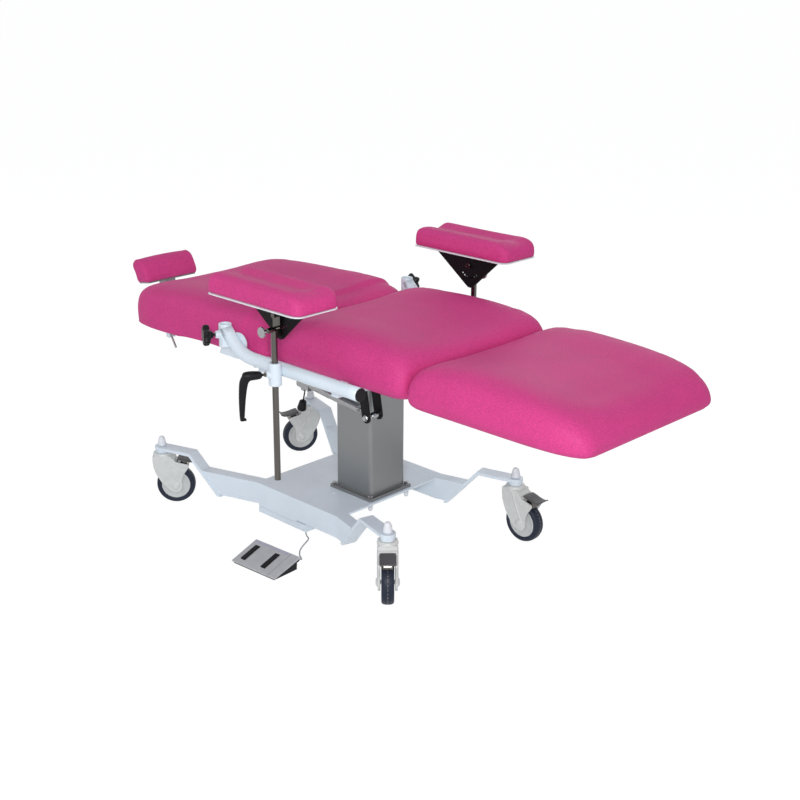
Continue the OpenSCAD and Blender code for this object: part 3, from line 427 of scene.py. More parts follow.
cableSet = {
    "radius": 0.0022,
    "points": [(-76, -205, 40), (-76, -205, 34), (-78, -202, 24), (-82, -195, 12), (-82, -190, 5),
               (-76, -194, 2.8), (-68, -208, 2.6), (-60, -224, 2.6), (-50, -243, 2.6), (-38, -262, 2.6),
               (-24, -277, 3), (-6, -292, 4.5), (16, -306, 9), (33, -320, 16), (41.76, -332.37, 24),
               (42.25, -340.35, 24)],
}


def tubeRings(path, radius, around=24):
    # circle of the given radius carried along the path on a frame that doesn't twist
    path = np.asarray(path, float)
    radius = np.broadcast_to(np.asarray(radius, float), (len(path),))
    way = units(np.gradient(path, axis=0))
    side = np.zeros_like(path)
    ref = np.array([0, 1.0, 0]) if abs(way[0, 1]) < 0.9 else np.array([1.0, 0, 0])
    side[0] = unit(np.cross(way[0], ref))
    for i in range(1, len(path)):
        side[i] = unit(side[i - 1] - way[i] * (side[i - 1] @ way[i]))
    circle = roundIn(side[:, None], np.cross(way, side)[:, None], around)
    return path[:, None] + radius[:, None, None] * circle


cablePath = smoothPath(toRow(cableSet["points"]), 6)
cable = loftPiece("footCable", tubeRings(cablePath, cableSet["radius"], 14), "base", "cable_sheath")
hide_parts("foot_cable")


# --- cushions ---------------------------------------------------------

bed = {"half": 316.0, "low": 590.0, "hollow": 13.0, "swell": 0.002, "stations": 150, "spans": 5, "under": 9,
       "sag": 12.0}
clothSet = {"pressure": 4.0, "frames": 20, "pinned": 0.004}


def eased(x, xs, ys):
    # monotone cubic through the stations: Hermite spans whose slopes are harmonic means of their neighbours
    h, d = np.diff(xs), np.diff(ys) / np.diff(xs)
    both = d[:-1] * d[1:] > 0
    m = np.zeros(len(xs))
    m[1:-1] = np.where(both, 2 * d[:-1] * d[1:] / np.where(both, d[:-1] + d[1:], 1), 0)
    m[0], m[-1] = d[0], d[-1]
    i = np.clip(np.searchsorted(xs, x) - 1, 0, len(xs) - 2)
    t = (x - xs[i]) / h[i]
    a, b = ys[i] * (1 - t) ** 2 * (1 + 2 * t), ys[i + 1] * t ** 2 * (3 - 2 * t)
    return a + b + h[i] * (m[i] * t * (1 - t) ** 2 - m[i + 1] * t ** 2 * (1 - t))


def sectionPoints(b, lo, hi, dip, roll):
    # half a section from the underside's edge round the side to the middle of the top, for arrays of stations
    h, k = hi - lo, np.minimum(1, b / 300)
    ys = [b - (4 + 32 * roll) * k, b - (2 + 14 * roll) * k, b - (0.6 + 4.4 * roll) * k, b, b - 1.5 * k,
          b - 8 * k, b - 21 * k, b - 42 * k, b - 70 * k, b - 105 * k, b - 145 * k, b - 200 * k, b * 0.16,
          b * 0]
    zs = [lo, lo + (0.015 + 0.025 * roll) * h, lo + (0.07 + 0.06 * roll) * h, lo + 0.32 * h, lo + 0.52 * h,
          lo + 0.73 * h, lo + 0.88 * h, lo + 0.97 * h, hi, hi + 1.2 - 0.08 * dip, hi + 1.6 - 0.36 * dip,
          hi + 2 - 0.8 * dip, hi + 2.5 - dip, hi + 2.6 - dip]
    return np.stack([np.stack(ys, -1), np.stack(zs, -1)], -1)


def cushionRings(rows, thick, roll):
    # rows are stations: x, side inset, underside lift, top drop, share of the hollow
    st = np.array(rows, float)
    u = np.linspace(0, 1, bed["stations"])
    x = st[0, 0] + (st[-1, 0] - st[0, 0]) * (0.35 * u + 0.65 * (1 - np.cos(np.pi * u)) / 2)
    x = np.unique(np.concatenate([x, st[:, 0]]))
    inset, lift, drop, share = (eased(x, st[:, 0], st[:, i]) for i in range(1, 5))
    lo, hi = bed["low"] + lift, bed["low"] + thick - drop
    c = sectionPoints(bed["half"] - inset, lo, hi, bed["hollow"] * share, roll)
    # spline along the half section, mirrored past the middle of the top
    c = np.concatenate([2 * c[:, :1] - c[:, 1:2], c, c[:, -2:-1] * np.array([-1, 1])], 1)
    t = (np.arange(bed["spans"]) / bed["spans"])[None, None, :, None]
    q = spline(*(c[:, i:c.shape[1] - 3 + i, None] for i in range(4)), t)
    half = np.concatenate([q.reshape(len(x), -1, 2), c[:, -2:-1]], 1)
    w = np.linspace(0, 1, bed["under"])[None, :-1]
    under = np.stack([half[:, :1, 0] * w, np.repeat(half[:, :1, 1], bed["under"] - 1, 1)], -1)
    half = np.concatenate([under, half], 1)
    ring = np.concatenate([half, half[:, -2:0:-1] * np.array([-1, 1])], 1)
    rings = np.concatenate([np.repeat(x[:, None, None], ring.shape[1], 1), ring], -1)
    # both ends are drawn in to a narrow band, so that the caps have no long fans
    for end in (0, -1):
        middle = (rings[end, :, 2].min() + rings[end, :, 2].max()) / 2
        caps = []
        for k in (0.7, 0.4, 0.15):
            cap = rings[end].copy()
            cap[:, 2] = middle + (cap[:, 2] - middle) * k
            cap[:, 1] *= 0.985 + 0.015 * k
            caps.append(cap)
        rings = np.concatenate([caps[::-1], rings] if end == 0 else [rings, caps])
    return toRow(rings)


def clothSwelled(obj, floorZ):
    # cloth under pressure for a few frames, the points near the board pinned
    if floorZ is not None:
        pinned = np.nonzero(readPoints(obj.data)[:, 2] < floorZ + clothSet["pinned"])[0].tolist()
        obj.vertex_groups.new(name="pins").add(pinned, 1.0, "REPLACE")
    cloth = obj.modifiers.new("cloth", "CLOTH")
    st = cloth.settings
    st.quality = 5
    st.use_pressure = True
    st.uniform_pressure_force = clothSet["pressure"]
    st.effector_weights.gravity = 0
    st.tension_stiffness = st.compression_stiffness = 18
    st.shear_stiffness = 12
    st.bending_stiffness = 1.2
    st.mass = 0.3
    if floorZ is not None:
        st.vertex_group_mass = "pins"
    cloth.collision_settings.use_collision = False
    cloth.collision_settings.use_self_collision = False
    cloth.point_cache.frame_start = 1
    cloth.point_cache.frame_end = clothSet["frames"]
    for f in range(1, clothSet["frames"] + 1):
        bpy.context.scene.frame_set(f)
    applyModifiers(obj)
    bpy.context.scene.frame_set(1)
    obj.vertex_groups.clear()


def puffed(obj, voxel, swell, floorZ=None, xRange=None):
    # swells a closed skin as stuffed fabric, each point held within a few millimetres of its start
    bpy.context.view_layer.objects.active = obj
    if voxel:
        modifier(obj, "REMESH", mode="VOXEL", voxel_size=voxel, use_smooth_shade=True)
        applyModifiers(obj)
    start = readPoints(obj.data)
    clothSwelled(obj, floorZ)
    move = readPoints(obj.data) - start
    far = np.linalg.norm(move, axis=1, keepdims=True)
    move *= np.minimum(1, swell / np.maximum(far, 1e-9))
    now = start + move
    if floorZ is not None:
        now[:, 2] = np.maximum(now[:, 2], floorZ)
    if xRange is not None:
        now[:, 0] = np.clip(now[:, 0], xRange[0], xRange[1])
    writePoints(obj.data, now)
    modifier(obj, "SMOOTH", factor=0.5, iterations=6 if voxel else 2)
    if voxel:
        modifier(obj, "SUBSURF", levels=1, render_levels=1)
    applyModifiers(obj)
    shadeSmooth(obj.data)
    obj.data.update()


def fitted(obj, low, high):
    # stretches a pad's mesh to a box, which remeshing and smoothing had shrunk
    co = readPoints(obj.data)
    lo, hi = co.min(0), co.max(0)
    writePoints(obj.data, np.array(low) + (co - lo) / (hi - lo) * (np.array(high) - np.array(low)))


seatHead, seatFoot, hinge, legEnd = -122.7, 429.6, 430.0, 1009.0
cushionSets = {
    "back": {"body": "back", "thick": 134, "roll": 0.1, "rows": [
        (-800, 78, 30, 90, 0), (-798, 62, 19, 74, 0), (-792, 46, 9, 58, 0.05), (-780, 29, 3, 44, 0.2),
        (-758, 14, 0, 32, 0.5), (-722, 5, 0, 24, 0.8), (-670, 0, 0, 18, 1), (-560, 0, 0, 10, 1),
        (-420, 0, 0, 5, 1), (-300, 0, 0, 1, 1), (-225, 0, 0, 2, 0.9), (-205, 1, 0, 16, 0.7),
        (-186, 3, 0, 19, 0.5),
        (-170, 6, 0, 22.5, 0.3), (-156, 10, 0, 29, 0.15), (-142, 18, 0, 39, 0.05), (-131, 26, 12, 55, 0),
        (-125.5, 34, 26, 69, 0)]},
    "seat": {"body": "seat", "thick": 148, "roll": 1.7, "rows": [
        (seatHead + 0.2, 30, 34, 84, 0), (seatHead + 1.6, 21, 22, 70, 0), (seatHead + 6, 13, 10, 55, 0.05),
        (seatHead + 16, 7, 2, 41, 0.2), (seatHead + 33, 2, 0, 28, 0.5), (seatHead + 55, 0, 0, 20, 0.8),
        (seatHead + 90, 0, 0, 13, 1), (50, 0, 0, 5, 1), (190, 0, 0, 0, 1), (seatFoot - 90, 0, 0, 8, 1),
        (seatFoot - 58, 1, 0, 14, 0.8), (seatFoot - 34, 4, 2, 22, 0.5), (seatFoot - 16, 10, 7, 34, 0.2),
        (seatFoot - 6, 17, 15, 46, 0.05), (seatFoot - 1.6, 24, 25, 58, 0), (seatFoot, 32, 36, 70, 0)]},
    "leg": {"body": "leg", "thick": 131, "roll": 1.0, "rows": [
        (hinge, 40, 34, 84, 0), (hinge + 1.6, 30, 22, 68, 0), (hinge + 6, 21, 11, 53, 0.05),
        (hinge + 16, 11, 3, 38, 0.2), (hinge + 34, 4, 0, 24, 0.5), (hinge + 58, 1, 0, 16, 0.8),
        (hinge + 95, 0, 0, 10, 1), (620, 0, 0, 2, 1), (720, 0, 0, 5, 1), (legEnd - 180, 1, 0, 14, 1),
        (legEnd - 120, 5, 0, 24, 1), (legEnd - 82, 11, 0, 33, 0.8), (legEnd - 50, 21, 0, 46, 0.5),
        (legEnd - 26, 32, 1, 61, 0.25), (legEnd - 10, 44, 4, 77, 0.05), (legEnd - 2.5, 56, 10, 89, 0),
        (legEnd, 66, 20, 97, 0)]},
}
for name, c in cushionSets.items():
    rings = cushionRings(c["rows"], c["thick"], c["roll"])
    low = bed["low"]
    if name == "back":
        # the overhang sags: a smooth step outward of 236 mm times a smooth hump along X, fading up the side
        fromColumn = (rings[..., 0] - shiftX) * 1000
        outer = np.clip((np.abs(rings[..., 1]) * 1000 - 236) / 50, 0, 1)
        hump = np.clip((fromColumn + 800) / 40, 0, 1) * np.clip((-380 - fromColumn) / 260, 0, 1)
        fade = np.clip(1 - (rings[..., 2] * 1000 - low) / 80, 0, 1)
        rings[..., 2] -= bed["sag"] / 1000 * outer ** 2 * (3 - 2 * outer) * hump ** 2 * (3 - 2 * hump) * fade
        low -= bed["sag"]
    pad = loftPiece(name + "Cushion", rings, None, "vinyl")
    ends = [c["rows"][0][0] / 1000 + shiftX, c["rows"][-1][0] / 1000 + shiftX]
    puffed(pad, 0, bed["swell"], low / 1000, ends)
    standIn(pad, c["body"], name + "_cushion")
    print("cushion", name, len(pad.data.polygons), "faces")


# --- head pad ---------------------------------------------------------

headSet = {"x": -1006.0, "z": 630.0, "tilt": 10.0, "width": 212.0, "proud": 5.0, "swell": 0.002,
           "voxel": 0.004, "middle": (-6, 34), "welt": 1.1, "weltIn": 6.0}
headOutline = [(-24, 0), (24, 0), (30, 3), (31, 14), (26, 34), (18, 56), (9, 70), (-3, 77), (-18, 78),
               (-34, 74), (-43, 65), (-44, 52), (-38, 32), (-32, 12), (-29, 3)]


def headPoint(x, y, z):
    # from the pad's own millimetres, leaning by its tilt, to the row's frame
    t = math.radians(headSet["tilt"])
    return toRow(np.stack([headSet["x"] + x * math.cos(t) - z * math.sin(t), y,
                           headSet["z"] + x * math.sin(t) + z * math.cos(t)], -1))


outline = closedCurve(headOutline, 6)
acrossHead = np.linspace(-1, 1, 61)
reach = headSet["width"] / 2
fromEnd = (1 - np.abs(acrossHead)) * reach
growth = 0.97 + 0.045 * (1 - acrossHead ** 2) - quarter(fromEnd, 9.0, 0.13)
midX, midZ = headSet["middle"]
ox = (outline[:, 0] - midX)[None] * growth[:, None] + midX
oz = np.maximum(0, midZ + (outline[:, 1] - midZ)[None] * growth[:, None])
oy = np.repeat((acrossHead * reach)[:, None], len(outline), 1)
headPad = loftPiece("headPad", headPoint(ox, oy, oz), None, "vinyl")
puffed(headPad, headSet["voxel"], headSet["swell"])
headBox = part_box("head_pad")
proud = Vector((0.001, headSet["proud"] / 1000, 0.001))
fitted(headPad, headBox[0] - proud, headBox[1] + proud)
standIn(headPad, "head", "head_pad")
for side, word in ((-1, "Right"), (1, "Left")):
    # welted seam round the pad near each end
    g = 1.004
    weltY = np.full(len(outline), side * (reach - headSet["weltIn"]))
    weltZ = np.maximum(0.6, midZ + (outline[:, 1] - midZ) * g)
    ringPath = headPoint((outline[:, 0] - midX) * g + midX, weltY, weltZ)
    sideways = np.array([0, 1.0, 0])
    out = np.cross(units(np.roll(ringPath, -1, 0) - np.roll(ringPath, 1, 0)), sideways)
    circle = roundIn(out[:, None], sideways, 10)
    pts = ringPath[:, None] + headSet["welt"] / 1000 * circle
    faces = gridFaces(*pts.shape[:2], wrapRows=True)
    outward(newPiece("headSeam" + word, pts.reshape(-1, 3), faces, "head", "vinyl"))
print("head pad made")


# --- armrest pads -----------------------------------------------------

armSet = {"x": 45.0, "y": 415.0, "z": 831.0, "length": 376.0, "width": 162.0, "high": 56.0, "hollow": 13.0,
          "swell": 0.002, "voxel": 0.0045}
# half of the section, as shares of the half width and of the height, mirrored for the other half
armHalf = [(0.95, 0), (0.985, 0.08), (1.0, 0.34), (0.992, 0.62), (0.955, 0.82), (0.88, 0.94), (0.76, 0.99),
           (0.58, 1.0), (0.3, 1.0)]
armProfile = [(-y, z) for y, z in armHalf] + [(0.0, 1.0)] + armHalf[::-1]


def armOutline(a, b, small=10.0, large=30.0):
    # how far the side stands in at the distances a from the head end and b from the foot end, rounded in plan
    return np.maximum(quarter(a, small, small), quarter(b, large, large - 6))


def armStations(inset, count):
    # stations bunched toward both ends, with the half width at each
    e = armSet["length"] / 2 - inset
    x = -e * np.cos(np.pi * np.linspace(0, 1, count))
    return x, x + e, e - x, armSet["width"] / 2 - inset - armOutline(x + e, e - x)


def armPad(word, side):
    # flat-topped section with a trough that runs out before the foot end; the two pads aren't mirrored
    under = np.stack([np.linspace(0.95, -0.95, 26)[1:-1], np.zeros(24)], -1)
    sec = np.concatenate([smoothPath(armProfile, 5), under])
    x, a, b, w = armStations(0, 110)
    h = armSet["high"] - np.maximum(quarter(a, 13.0, 15.0), quarter(b, 50.0, 30.0))
    # trough: a Gaussian dip across the pad, deepest near the head end
    deep = armSet["hollow"] * np.clip(b / 90, 0, 1) ** 1.2
    dip = np.exp(-((sec[:, 0] - 0.16) / 0.36) ** 2) * (sec[:, 1] > 0.9)
    z = sec[None, :, 1] * h[:, None] - deep[:, None] * dip[None]
    pts = np.stack([np.repeat(x[:, None], len(sec), 1), sec[None, :, 0] * w[:, None], z], -1)
    at = toRow((armSet["x"], side * armSet["y"], armSet["z"]))
    pad = loftPiece("armPad" + word.capitalize(), pts / 1000 + at, None, "vinyl")
    puffed(pad, armSet["voxel"], armSet["swell"], armSet["z"] / 1000)
    half = np.array([armSet["length"] / 2000, armSet["width"] / 2000, 0])
    fitted(pad, at - half, at + half + np.array([0, 0, armSet["high"] / 1000]))
    standIn(pad, "armrest_" + word, "arm_pad_" + word)


def armBoard(word, side):
    # white edged board under the pad: rounded plan, edges rolled over
    x, _, _, edge = armStations(1, 80)
    plan = np.concatenate([np.stack([x, -edge], -1), np.stack([x, edge], -1)[::-1]])
    profile = ((0.985, -4), (0.994, -3.6), (0.998, -2.6), (0.998, -1), (0.994, -0.3), (0.985, 0))
    rows = [np.column_stack([plan * g, np.full(len(plan), z)]) for g, z in profile]
    at = toRow((armSet["x"], side * armSet["y"], armSet["z"]))
    node = "arm_board_" + word
    board = loftPiece("armBoard_" + word, np.array(rows) / 1000 + at, "armrest_" + word, slotOf[node])
    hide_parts(node)


bracketSet = {
    "pivot": (45.0, 787.0), "arc": 40.0, "hole": 3.2, "bore": 4.3, "plane": (391.1, 395.1),
    "tip": (47.6, 737, 22),
    "headEnd": [(-98, 827), (-103, 824), (-103, 820.5)],
    "footEnd": [(161, 812), (168, 820), (169, 824), (165, 827)],
    "flange": {"ends": (-98, 165), "levels": (823, 827), "deep": 30.0, "corner": 6.0},
}


def holedPlate(name, outline, holes, plane, body, slot):
    # flat plate in X and Z with round holes: both faces filled from the same loops, walls between them
    bm = bmesh.new()
    loops = [np.asarray(outline, float)]
    t = angles(24)
    for cx, cz, r in holes:
        loops.append(np.stack([cx + r * np.cos(t), cz + r * np.sin(t)], -1))
    start, wall = 0, []
    for q in loops:
        vs = [bm.verts.new((p[0], 0, p[1])) for p in q]
        for i in range(len(vs)):
            bm.edges.new((vs[i], vs[(i + 1) % len(vs)]))
            wall.append((start + i, start + (i + 1) % len(vs)))
        start += len(vs)
    bm.verts.index_update()
    bmesh.ops.triangle_fill(bm, use_beauty=True, use_dissolve=False, edges=bm.edges[:])
    flat = [[v.index for v in f.verts] for f in bm.faces]
    co = np.array([v.co[:] for v in bm.verts])
    bm.free()
    verts = toRow(np.concatenate([co + np.array([0, y, 0]) for y in plane]))
    faces = flat + [[i + start for i in f[::-1]] for f in flat]
    faces += [[i, j, j + start, i + start] for i, j in wall]
    return outward(newPiece(name, verts, faces, body, slot, smooth=False))


def armBracket(word, side):
    # wide V plate: straight flanks meet in a round tip, seven index holes lie on one arc about the pivot
    px, pz = bracketSet["pivot"]
    tx, tz, r = bracketSet["tip"]
    tip = [(tx + r * math.cos(t), tz + r * math.sin(t)) for t in np.radians(np.linspace(-128, -42, 19))]
    turns = np.radians(np.arange(-45, 60, 15))
    arc = bracketSet["arc"]
    holes = [(px + arc * math.sin(t), pz - arc * math.cos(t), bracketSet["hole"]) for t in turns]
    holes.append((px, pz, bracketSet["bore"]))
    y0, y1 = sorted(side * y for y in bracketSet["plane"])
    outline = bracketSet["headEnd"] + tip + bracketSet["footEnd"]
    plate = holedPlate("armBracket_" + word, outline, holes, (y0, y1), "armrest_" + word, "black_metal")
    # flange under the board, its outer corners cut
    flange = bracketSet["flange"]
    x0, x1 = flange["ends"]
    c = flange["corner"]
    near, far = bracketSet["plane"][0] + 0.5, bracketSet["plane"][0] - flange["deep"]
    plan = [(x0, far + c), (x0 + c, far), (x1 - c, far), (x1, far + c), (x1, near), (x0, near)]
    rows = [[(x, side * y, z) for x, y in plan[::side]] for z in flange["levels"]]
    loftPiece("armFlange_" + word, toRow(rows), "armrest_" + word, "black_metal", smooth=False)
    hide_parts("arm_bracket_" + word)


for side, word in ((-1, "right"), (1, "left")):
    armPad(word, side)
    armBoard(word, side)
    armBracket(word, side)
print("armrest pads made")


# --- casters ----------------------------------------------------------

casterSet = {
    "stems": {"head_right": (-633, -325, 47), "foot_right": (349, -278, -45), "foot_left": (349, 278, 0),
              "head_left": (-633, 325, 242)},
    "trail": 40.6, "wheel": 62.5,
    "ribs": [(2.6, [(12, 27.6, 158), (18, 27.8, 140), (36, 27.8, 96), (54, 27.8, 66)]),
             (2.2, [(-27, 26.0, 150), (-21, 26.4, 110), (4, 26.6, 68), (26, 26.6, 46)])],
    "pedal": {"spine": [(50, 0, 154.6), (62, 0, 152.6), (77, 0, 147.8), (94, 0, 144.5), (104, 0, 145.2),
                        (112.4, 0, 149)], "half": 23.0, "thick": 0.0034, "edge": 0.0009},
    "shoe": {"side": [(57, 131), (58, 140), (64, 149), (76, 146), (79.5, 134), (83.5, 125), (81.5, 120),
                      (76, 119.3), (70, 123.2), (62, 125)],
             "middle": (70, 131),
             "rows": [(-15, 0.86), (-14, 0.97), (-11, 1), (11, 1), (14, 0.97), (15, 0.86)]},
    "tread": [(-6.6, 61.9), (-6.1, 62.42), (-3, 62.48), (0, 62.5), (3, 62.48), (6.1, 62.42), (6.6, 61.9)],
}


def casterPoint(which, pts):
    # from the caster's own millimetres, swivelled about its stem, to the row's frame
    sx, sy, turn = casterSet["stems"][which]
    c, s = math.cos(math.radians(turn)), math.sin(math.radians(turn))
    x, y, z = np.moveaxis(np.asarray(pts, float), -1, 0)
    return toRow(np.stack([sx + x * c - y * s, sy + x * s + y * c, z], -1))


def mergedCopy(node, name):
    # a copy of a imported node's mesh with its loose triangles joined
    obj = placed(name, frame["nodes"][node].data.copy())
    return reworked(obj, lambda bm: bmesh.ops.remove_doubles(bm, verts=bm.verts, dist=2e-6))


def joined(objs, name, look):
    # several closed meshes in one object
    bm = bmesh.new()
    for o in objs:
        bm.from_mesh(o.data)
    mesh = bpy.data.meshes.new(name)
    bm.to_mesh(mesh)
    bm.free()
    for o in objs:
        bpy.data.objects.remove(o)
    obj = placed(name, mesh)
    inLook(obj, look)
    return obj


def moulded(obj, voxel, rounds):
    # voxel remesh and smoothing, which rounds every edge as in a moulding
    modifier(obj, "REMESH", mode="VOXEL", voxel_size=voxel)
    modifier(obj, "SMOOTH", factor=0.5, iterations=rounds)
    applyModifiers(obj)
    shadeSmooth(obj.data)
    return obj


def casterHood(which):
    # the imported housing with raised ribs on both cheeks, rounded as one moulding
    parts = [mergedCopy("fork_" + which, "hoodCopy")]
    for s in (-1, 1):
        for radius, line in casterSet["ribs"]:
            path = casterPoint(which, smoothPath([(x, s * y, z) for x, y, z in line], 5))
            parts.append(loftPiece("rib", tubeRings(path, radius / 1000, 12), None, "hood_plastic"))
    hood = moulded(joined(parts, "hood_" + which, "hood_plastic"), 0.0016, 5)
    standIn(hood, "fork_" + which, "fork_" + which)


def brakePedal(which):
    # curled plate with turned-down corners, and the steel shoe under it, pressed against the tread
    pedalSet, shoe = casterSet["pedal"], casterSet["shoe"]
    prof = smoothPath(pedalSet["spine"], 4)
    y = np.linspace(-pedalSet["half"], pedalSet["half"], 15)
    grid = np.repeat(prof[:, None], len(y), 1)
    taper = 1 - 0.10 * np.clip((grid[..., 0] - 96) / 16, 0, 1)
    grid[..., 1] = y[None] * taper
    grid[..., 2] -= 1.6 * (np.abs(y[None]) / pedalSet["half"]) ** 6
    pedal = newPiece("brakePedal_" + which, casterPoint(which, grid).reshape(-1, 3),
                     gridFaces(len(prof), len(y), wrapCols=False), None, "pedal_plastic")
    modifier(pedal, "SOLIDIFY", thickness=pedalSet["thick"], offset=0)
    modifier(pedal, "BEVEL", width=pedalSet["edge"], segments=2)
    applyModifiers(pedal)
    standIn(outward(pedal), "brake_" + which, "brake_" + which)
    mx, mz = shoe["middle"]
    rows = [closedCurve([((x - mx) * g + mx, y, (z - mz) * g + mz) for x, z in shoe["side"]], 3)
            for y, g in shoe["rows"]]
    loftPiece("brakeShoe_" + which, casterPoint(which, rows), "brake_" + which, "chrome")


def treadStripe(which):
    # stripe round the tyre, 12 mm wide and a little proud, with a shallow groove each side
    a = angles(96)
    trail, wheel, band = casterSet["trail"], casterSet["wheel"], casterSet["tread"]
    pts = [[(trail + r * math.sin(t), y, wheel + r * math.cos(t)) for y, r in band] for t in a]
    faces = gridFaces(len(a), len(band), wrapRows=True)
    outward(newPiece("tread_" + which, casterPoint(which, pts).reshape(-1, 3), faces, "wheel_" + which,
                     "tyre_rubber", "tread_rubber"))


for which in casterSet["stems"]:
    casterHood(which)
    brakePedal(which)
    treadStripe(which)
print("casters dressed")


# --- softened metal and plastic ---------------------------------------

frameSet = {
    "wideFace": 0.0015, "bend": 0.07, "capsBelow": 0.138, "seatEnd": 0.33, "seatLow": 0.583,
    "armFrom": 0.3475, "armLow": 0.598, "tubeFrom": 0.34, "tubeLow": 0.58, "tubeEnd": 0.292,
    "strap": [(354, 600), (351, 607), (346, 607), (288, 582), (282, 577), (283, 570), (292, 569)],
    "strapMiddle": (318, 588), "strapRows": [(-221, 0.94), (-220, 1), (-172, 1), (-171, 0.94)],
}


def thinnedEnds(co):
    # seat frame: the cross members' undersides rise toward the tubes, z in metres
    low = (np.abs(co[:, 1]) > frameSet["seatEnd"]) & (co[:, 2] < frameSet["seatLow"])
    co[low, 2] = frameSet["seatLow"]


def raisedArms(co):
    # back frame: the pivot arms stop above the cushion's underside and the pivot tube ends inside them
    y = np.abs(co[:, 1])
    co[(y > frameSet["armFrom"]) & (co[:, 2] < frameSet["armLow"]), 2] = frameSet["armLow"]
    end = (y > frameSet["tubeFrom"]) & (y < frameSet["armFrom"]) & (co[:, 2] < frameSet["tubeLow"])
    co[end, 1] = np.sign(co[end, 1]) * frameSet["tubeEnd"]


def sharpened(mesh, degrees):
    mesh.set_sharp_from_angle(angle=math.radians(degrees))


def crispEdges(bm):
    # an edge between two wide flat faces stays crisp even at a slight bend
    for e in bm.edges:
        wide = len(e.link_faces) == 2 and min(f.calc_area() for f in e.link_faces) > frameSet["wideFace"]
        if wide and e.calc_face_angle() > frameSet["bend"]:
            e.smooth = False


def softened(node, name, width, angle=34.0):
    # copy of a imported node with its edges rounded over, for pressed, welded and moulded pieces
    obj = mergedCopy(node, name)
    if node in reshapes:
        co = readPoints(obj.data)
        reshapes[node](co)
        writePoints(obj.data, co)
    flat = math.radians(0.6)
    reworked(obj, lambda bm: bmesh.ops.dissolve_limit(bm, angle_limit=flat, verts=bm.verts, edges=bm.edges))
    inLook(obj, slotOf[node])
    modifier(obj, "BEVEL", width=width, segments=2, limit_method="ANGLE", angle_limit=math.radians(angle),
             harden_normals=False)
    applyModifiers(obj)
    shadeSmooth(obj.data)
    sharpened(obj.data, angle)
    reworked(obj, crispEdges)
    modifier(obj, "WEIGHTED_NORMAL", keep_sharp=True)
    applyModifiers(obj)
    standIn(obj, bodyOf[node], node)


reshapes = {"seat_frame": thinnedEnds, "back_frame": raisedArms}
edgeWidths = {
    "base_frame": 0.0022, "caster_bars": 0.0016, "control_tray": 0.0012, "seat_frame": 0.0012,
    "leg_frame": 0.0012, "back_frame": 0.0012, "spring_hangers": 0.001, "foot_top": 0.0009,
    "foot_base": 0.0012, "gas_tube": 0.0008, "back_board": 0.0008, "leg_board": 0.0008,
    "head_bracket": 0.0007, "column_cover": 0.0007,
}
for node, width in edgeWidths.items():
    softened(node, node + "_dressed", width)
print("edges softened:", len(edgeWidths))

# flange bolts: bright above the flange, white cap nuts below it
bolts = mergedCopy("flange_bolts", "flangeBolts")
inLook(bolts, "bright_steel", "white_plastic")
for f in bolts.data.polygons:
    f.material_index = 1 if f.center.z < frameSet["capsBelow"] else 0
sharpened(bolts.data, 34)
standIn(bolts, bodyOf["flange_bolts"], "flange_bolts")

controlTop = {"corner": (-119.72, -460.46, 10.0), "wide": (61.94, -449.35, 10.0),
              "deep": (-125.82, -360.65, 42.0)}


def topStrip(name, u, v, lift, slot, look=None):
    # thin strip lying on the foot control's sloping top: u along its width, v up its slope, both as shares
    o, a, b = (np.array(controlTop[k]) for k in ("corner", "wide", "deep"))
    n = unit(np.cross(a - o, b - o))
    us, vs = np.array([u[0], u[1], u[1], u[0]]), np.array([v[0], v[0], v[1], v[1]])
    flat = o + us[:, None] * (a - o) + vs[:, None] * (b - o)
    rows = np.array([flat + n * h for h in (-0.4, lift * 0.6, lift)])
    rows[2] = rows[2].mean(0) + (rows[2] - rows[2].mean(0)) * 0.995
    loftPiece(name, toRow(rows), bodyOf["foot_top"], slot, look, smooth=False)


topStrip("controlBand", (0.02, 0.815), (0.9, 0.985), 0.25, "control_plastic", "control_band")
topStrip("controlSeam", (0.8265, 0.8305), (0.0, 0.995), 0.12, "black_plastic")
for side, word in ((-1, "right"), (1, "left")):
    # slanting strap from the pivot arm down to the pivot tube under the back cushion
    cy, cz = frameSet["strapMiddle"]
    rows = [[(x, side * (cy + (y - cy) * g), cz + (z - cz) * g) for y, z in frameSet["strap"]]
            for x, g in frameSet["strapRows"]]
    loftPiece("pivotStrap_" + word, toRow(rows), "back", "white_coat", smooth=False)
print("foot control's trim and pivot straps made")


# --- side tubes -------------------------------------------------------

tubeSet = {"radius": 19.0, "y": 379.0, "z": 623.0, "foot": 346.0, "socket": (-213, 636, 704),
           "inSocket": 16.6,
           "bend": [(-60, 623), (-95, 623.6), (-120, 626.8), (-142, 633.4), (-160, 643), (-176, 655),
                    (-188, 666.5)],
           "collar": (45, 414, 586, 652, 18.5, 9.06)}
bossSet = {"knobBoss_": (-213, 379, 672, 11, 29.0), "leverBoss_": (45, 414, 619, 9, 24.5)}
pivotSet = {"head": (-177, 650, 34, 29), "y": 359.0,
            "foot": [(-217, 632), (-240, 628), (-260, 612), (-265, 600), (-256, 599), (-220, 599),
                     (-190, 599), (-172, 601), (-160, 606), (-150, 620), (-146, 632)],
            "rows": [(-4, 0.955), (-3.6, 0.985), (-2.6, 1), (2.6, 1), (3.6, 0.985), (4, 0.955)]}
white = ("seat", "white_coat")


def ringProfile(name, x, y, rows):
    # closed tube wall turned about an upright axis, its rows of (height, radius) up outside and down the bore
    d, u, v = basis((0, 0, 1))
    prof = np.asarray(rows, float) / 1000
    ring = roundIn(u, v, 56)[:, None]
    pts = toRow((x, y, 0)) + prof[None, :, 0, None] * d + prof[None, :, 1, None] * ring
    return outward(newPiece(name, pts.reshape(-1, 3), gridFaces(*pts.shape[:2], wrapRows=True), *white))


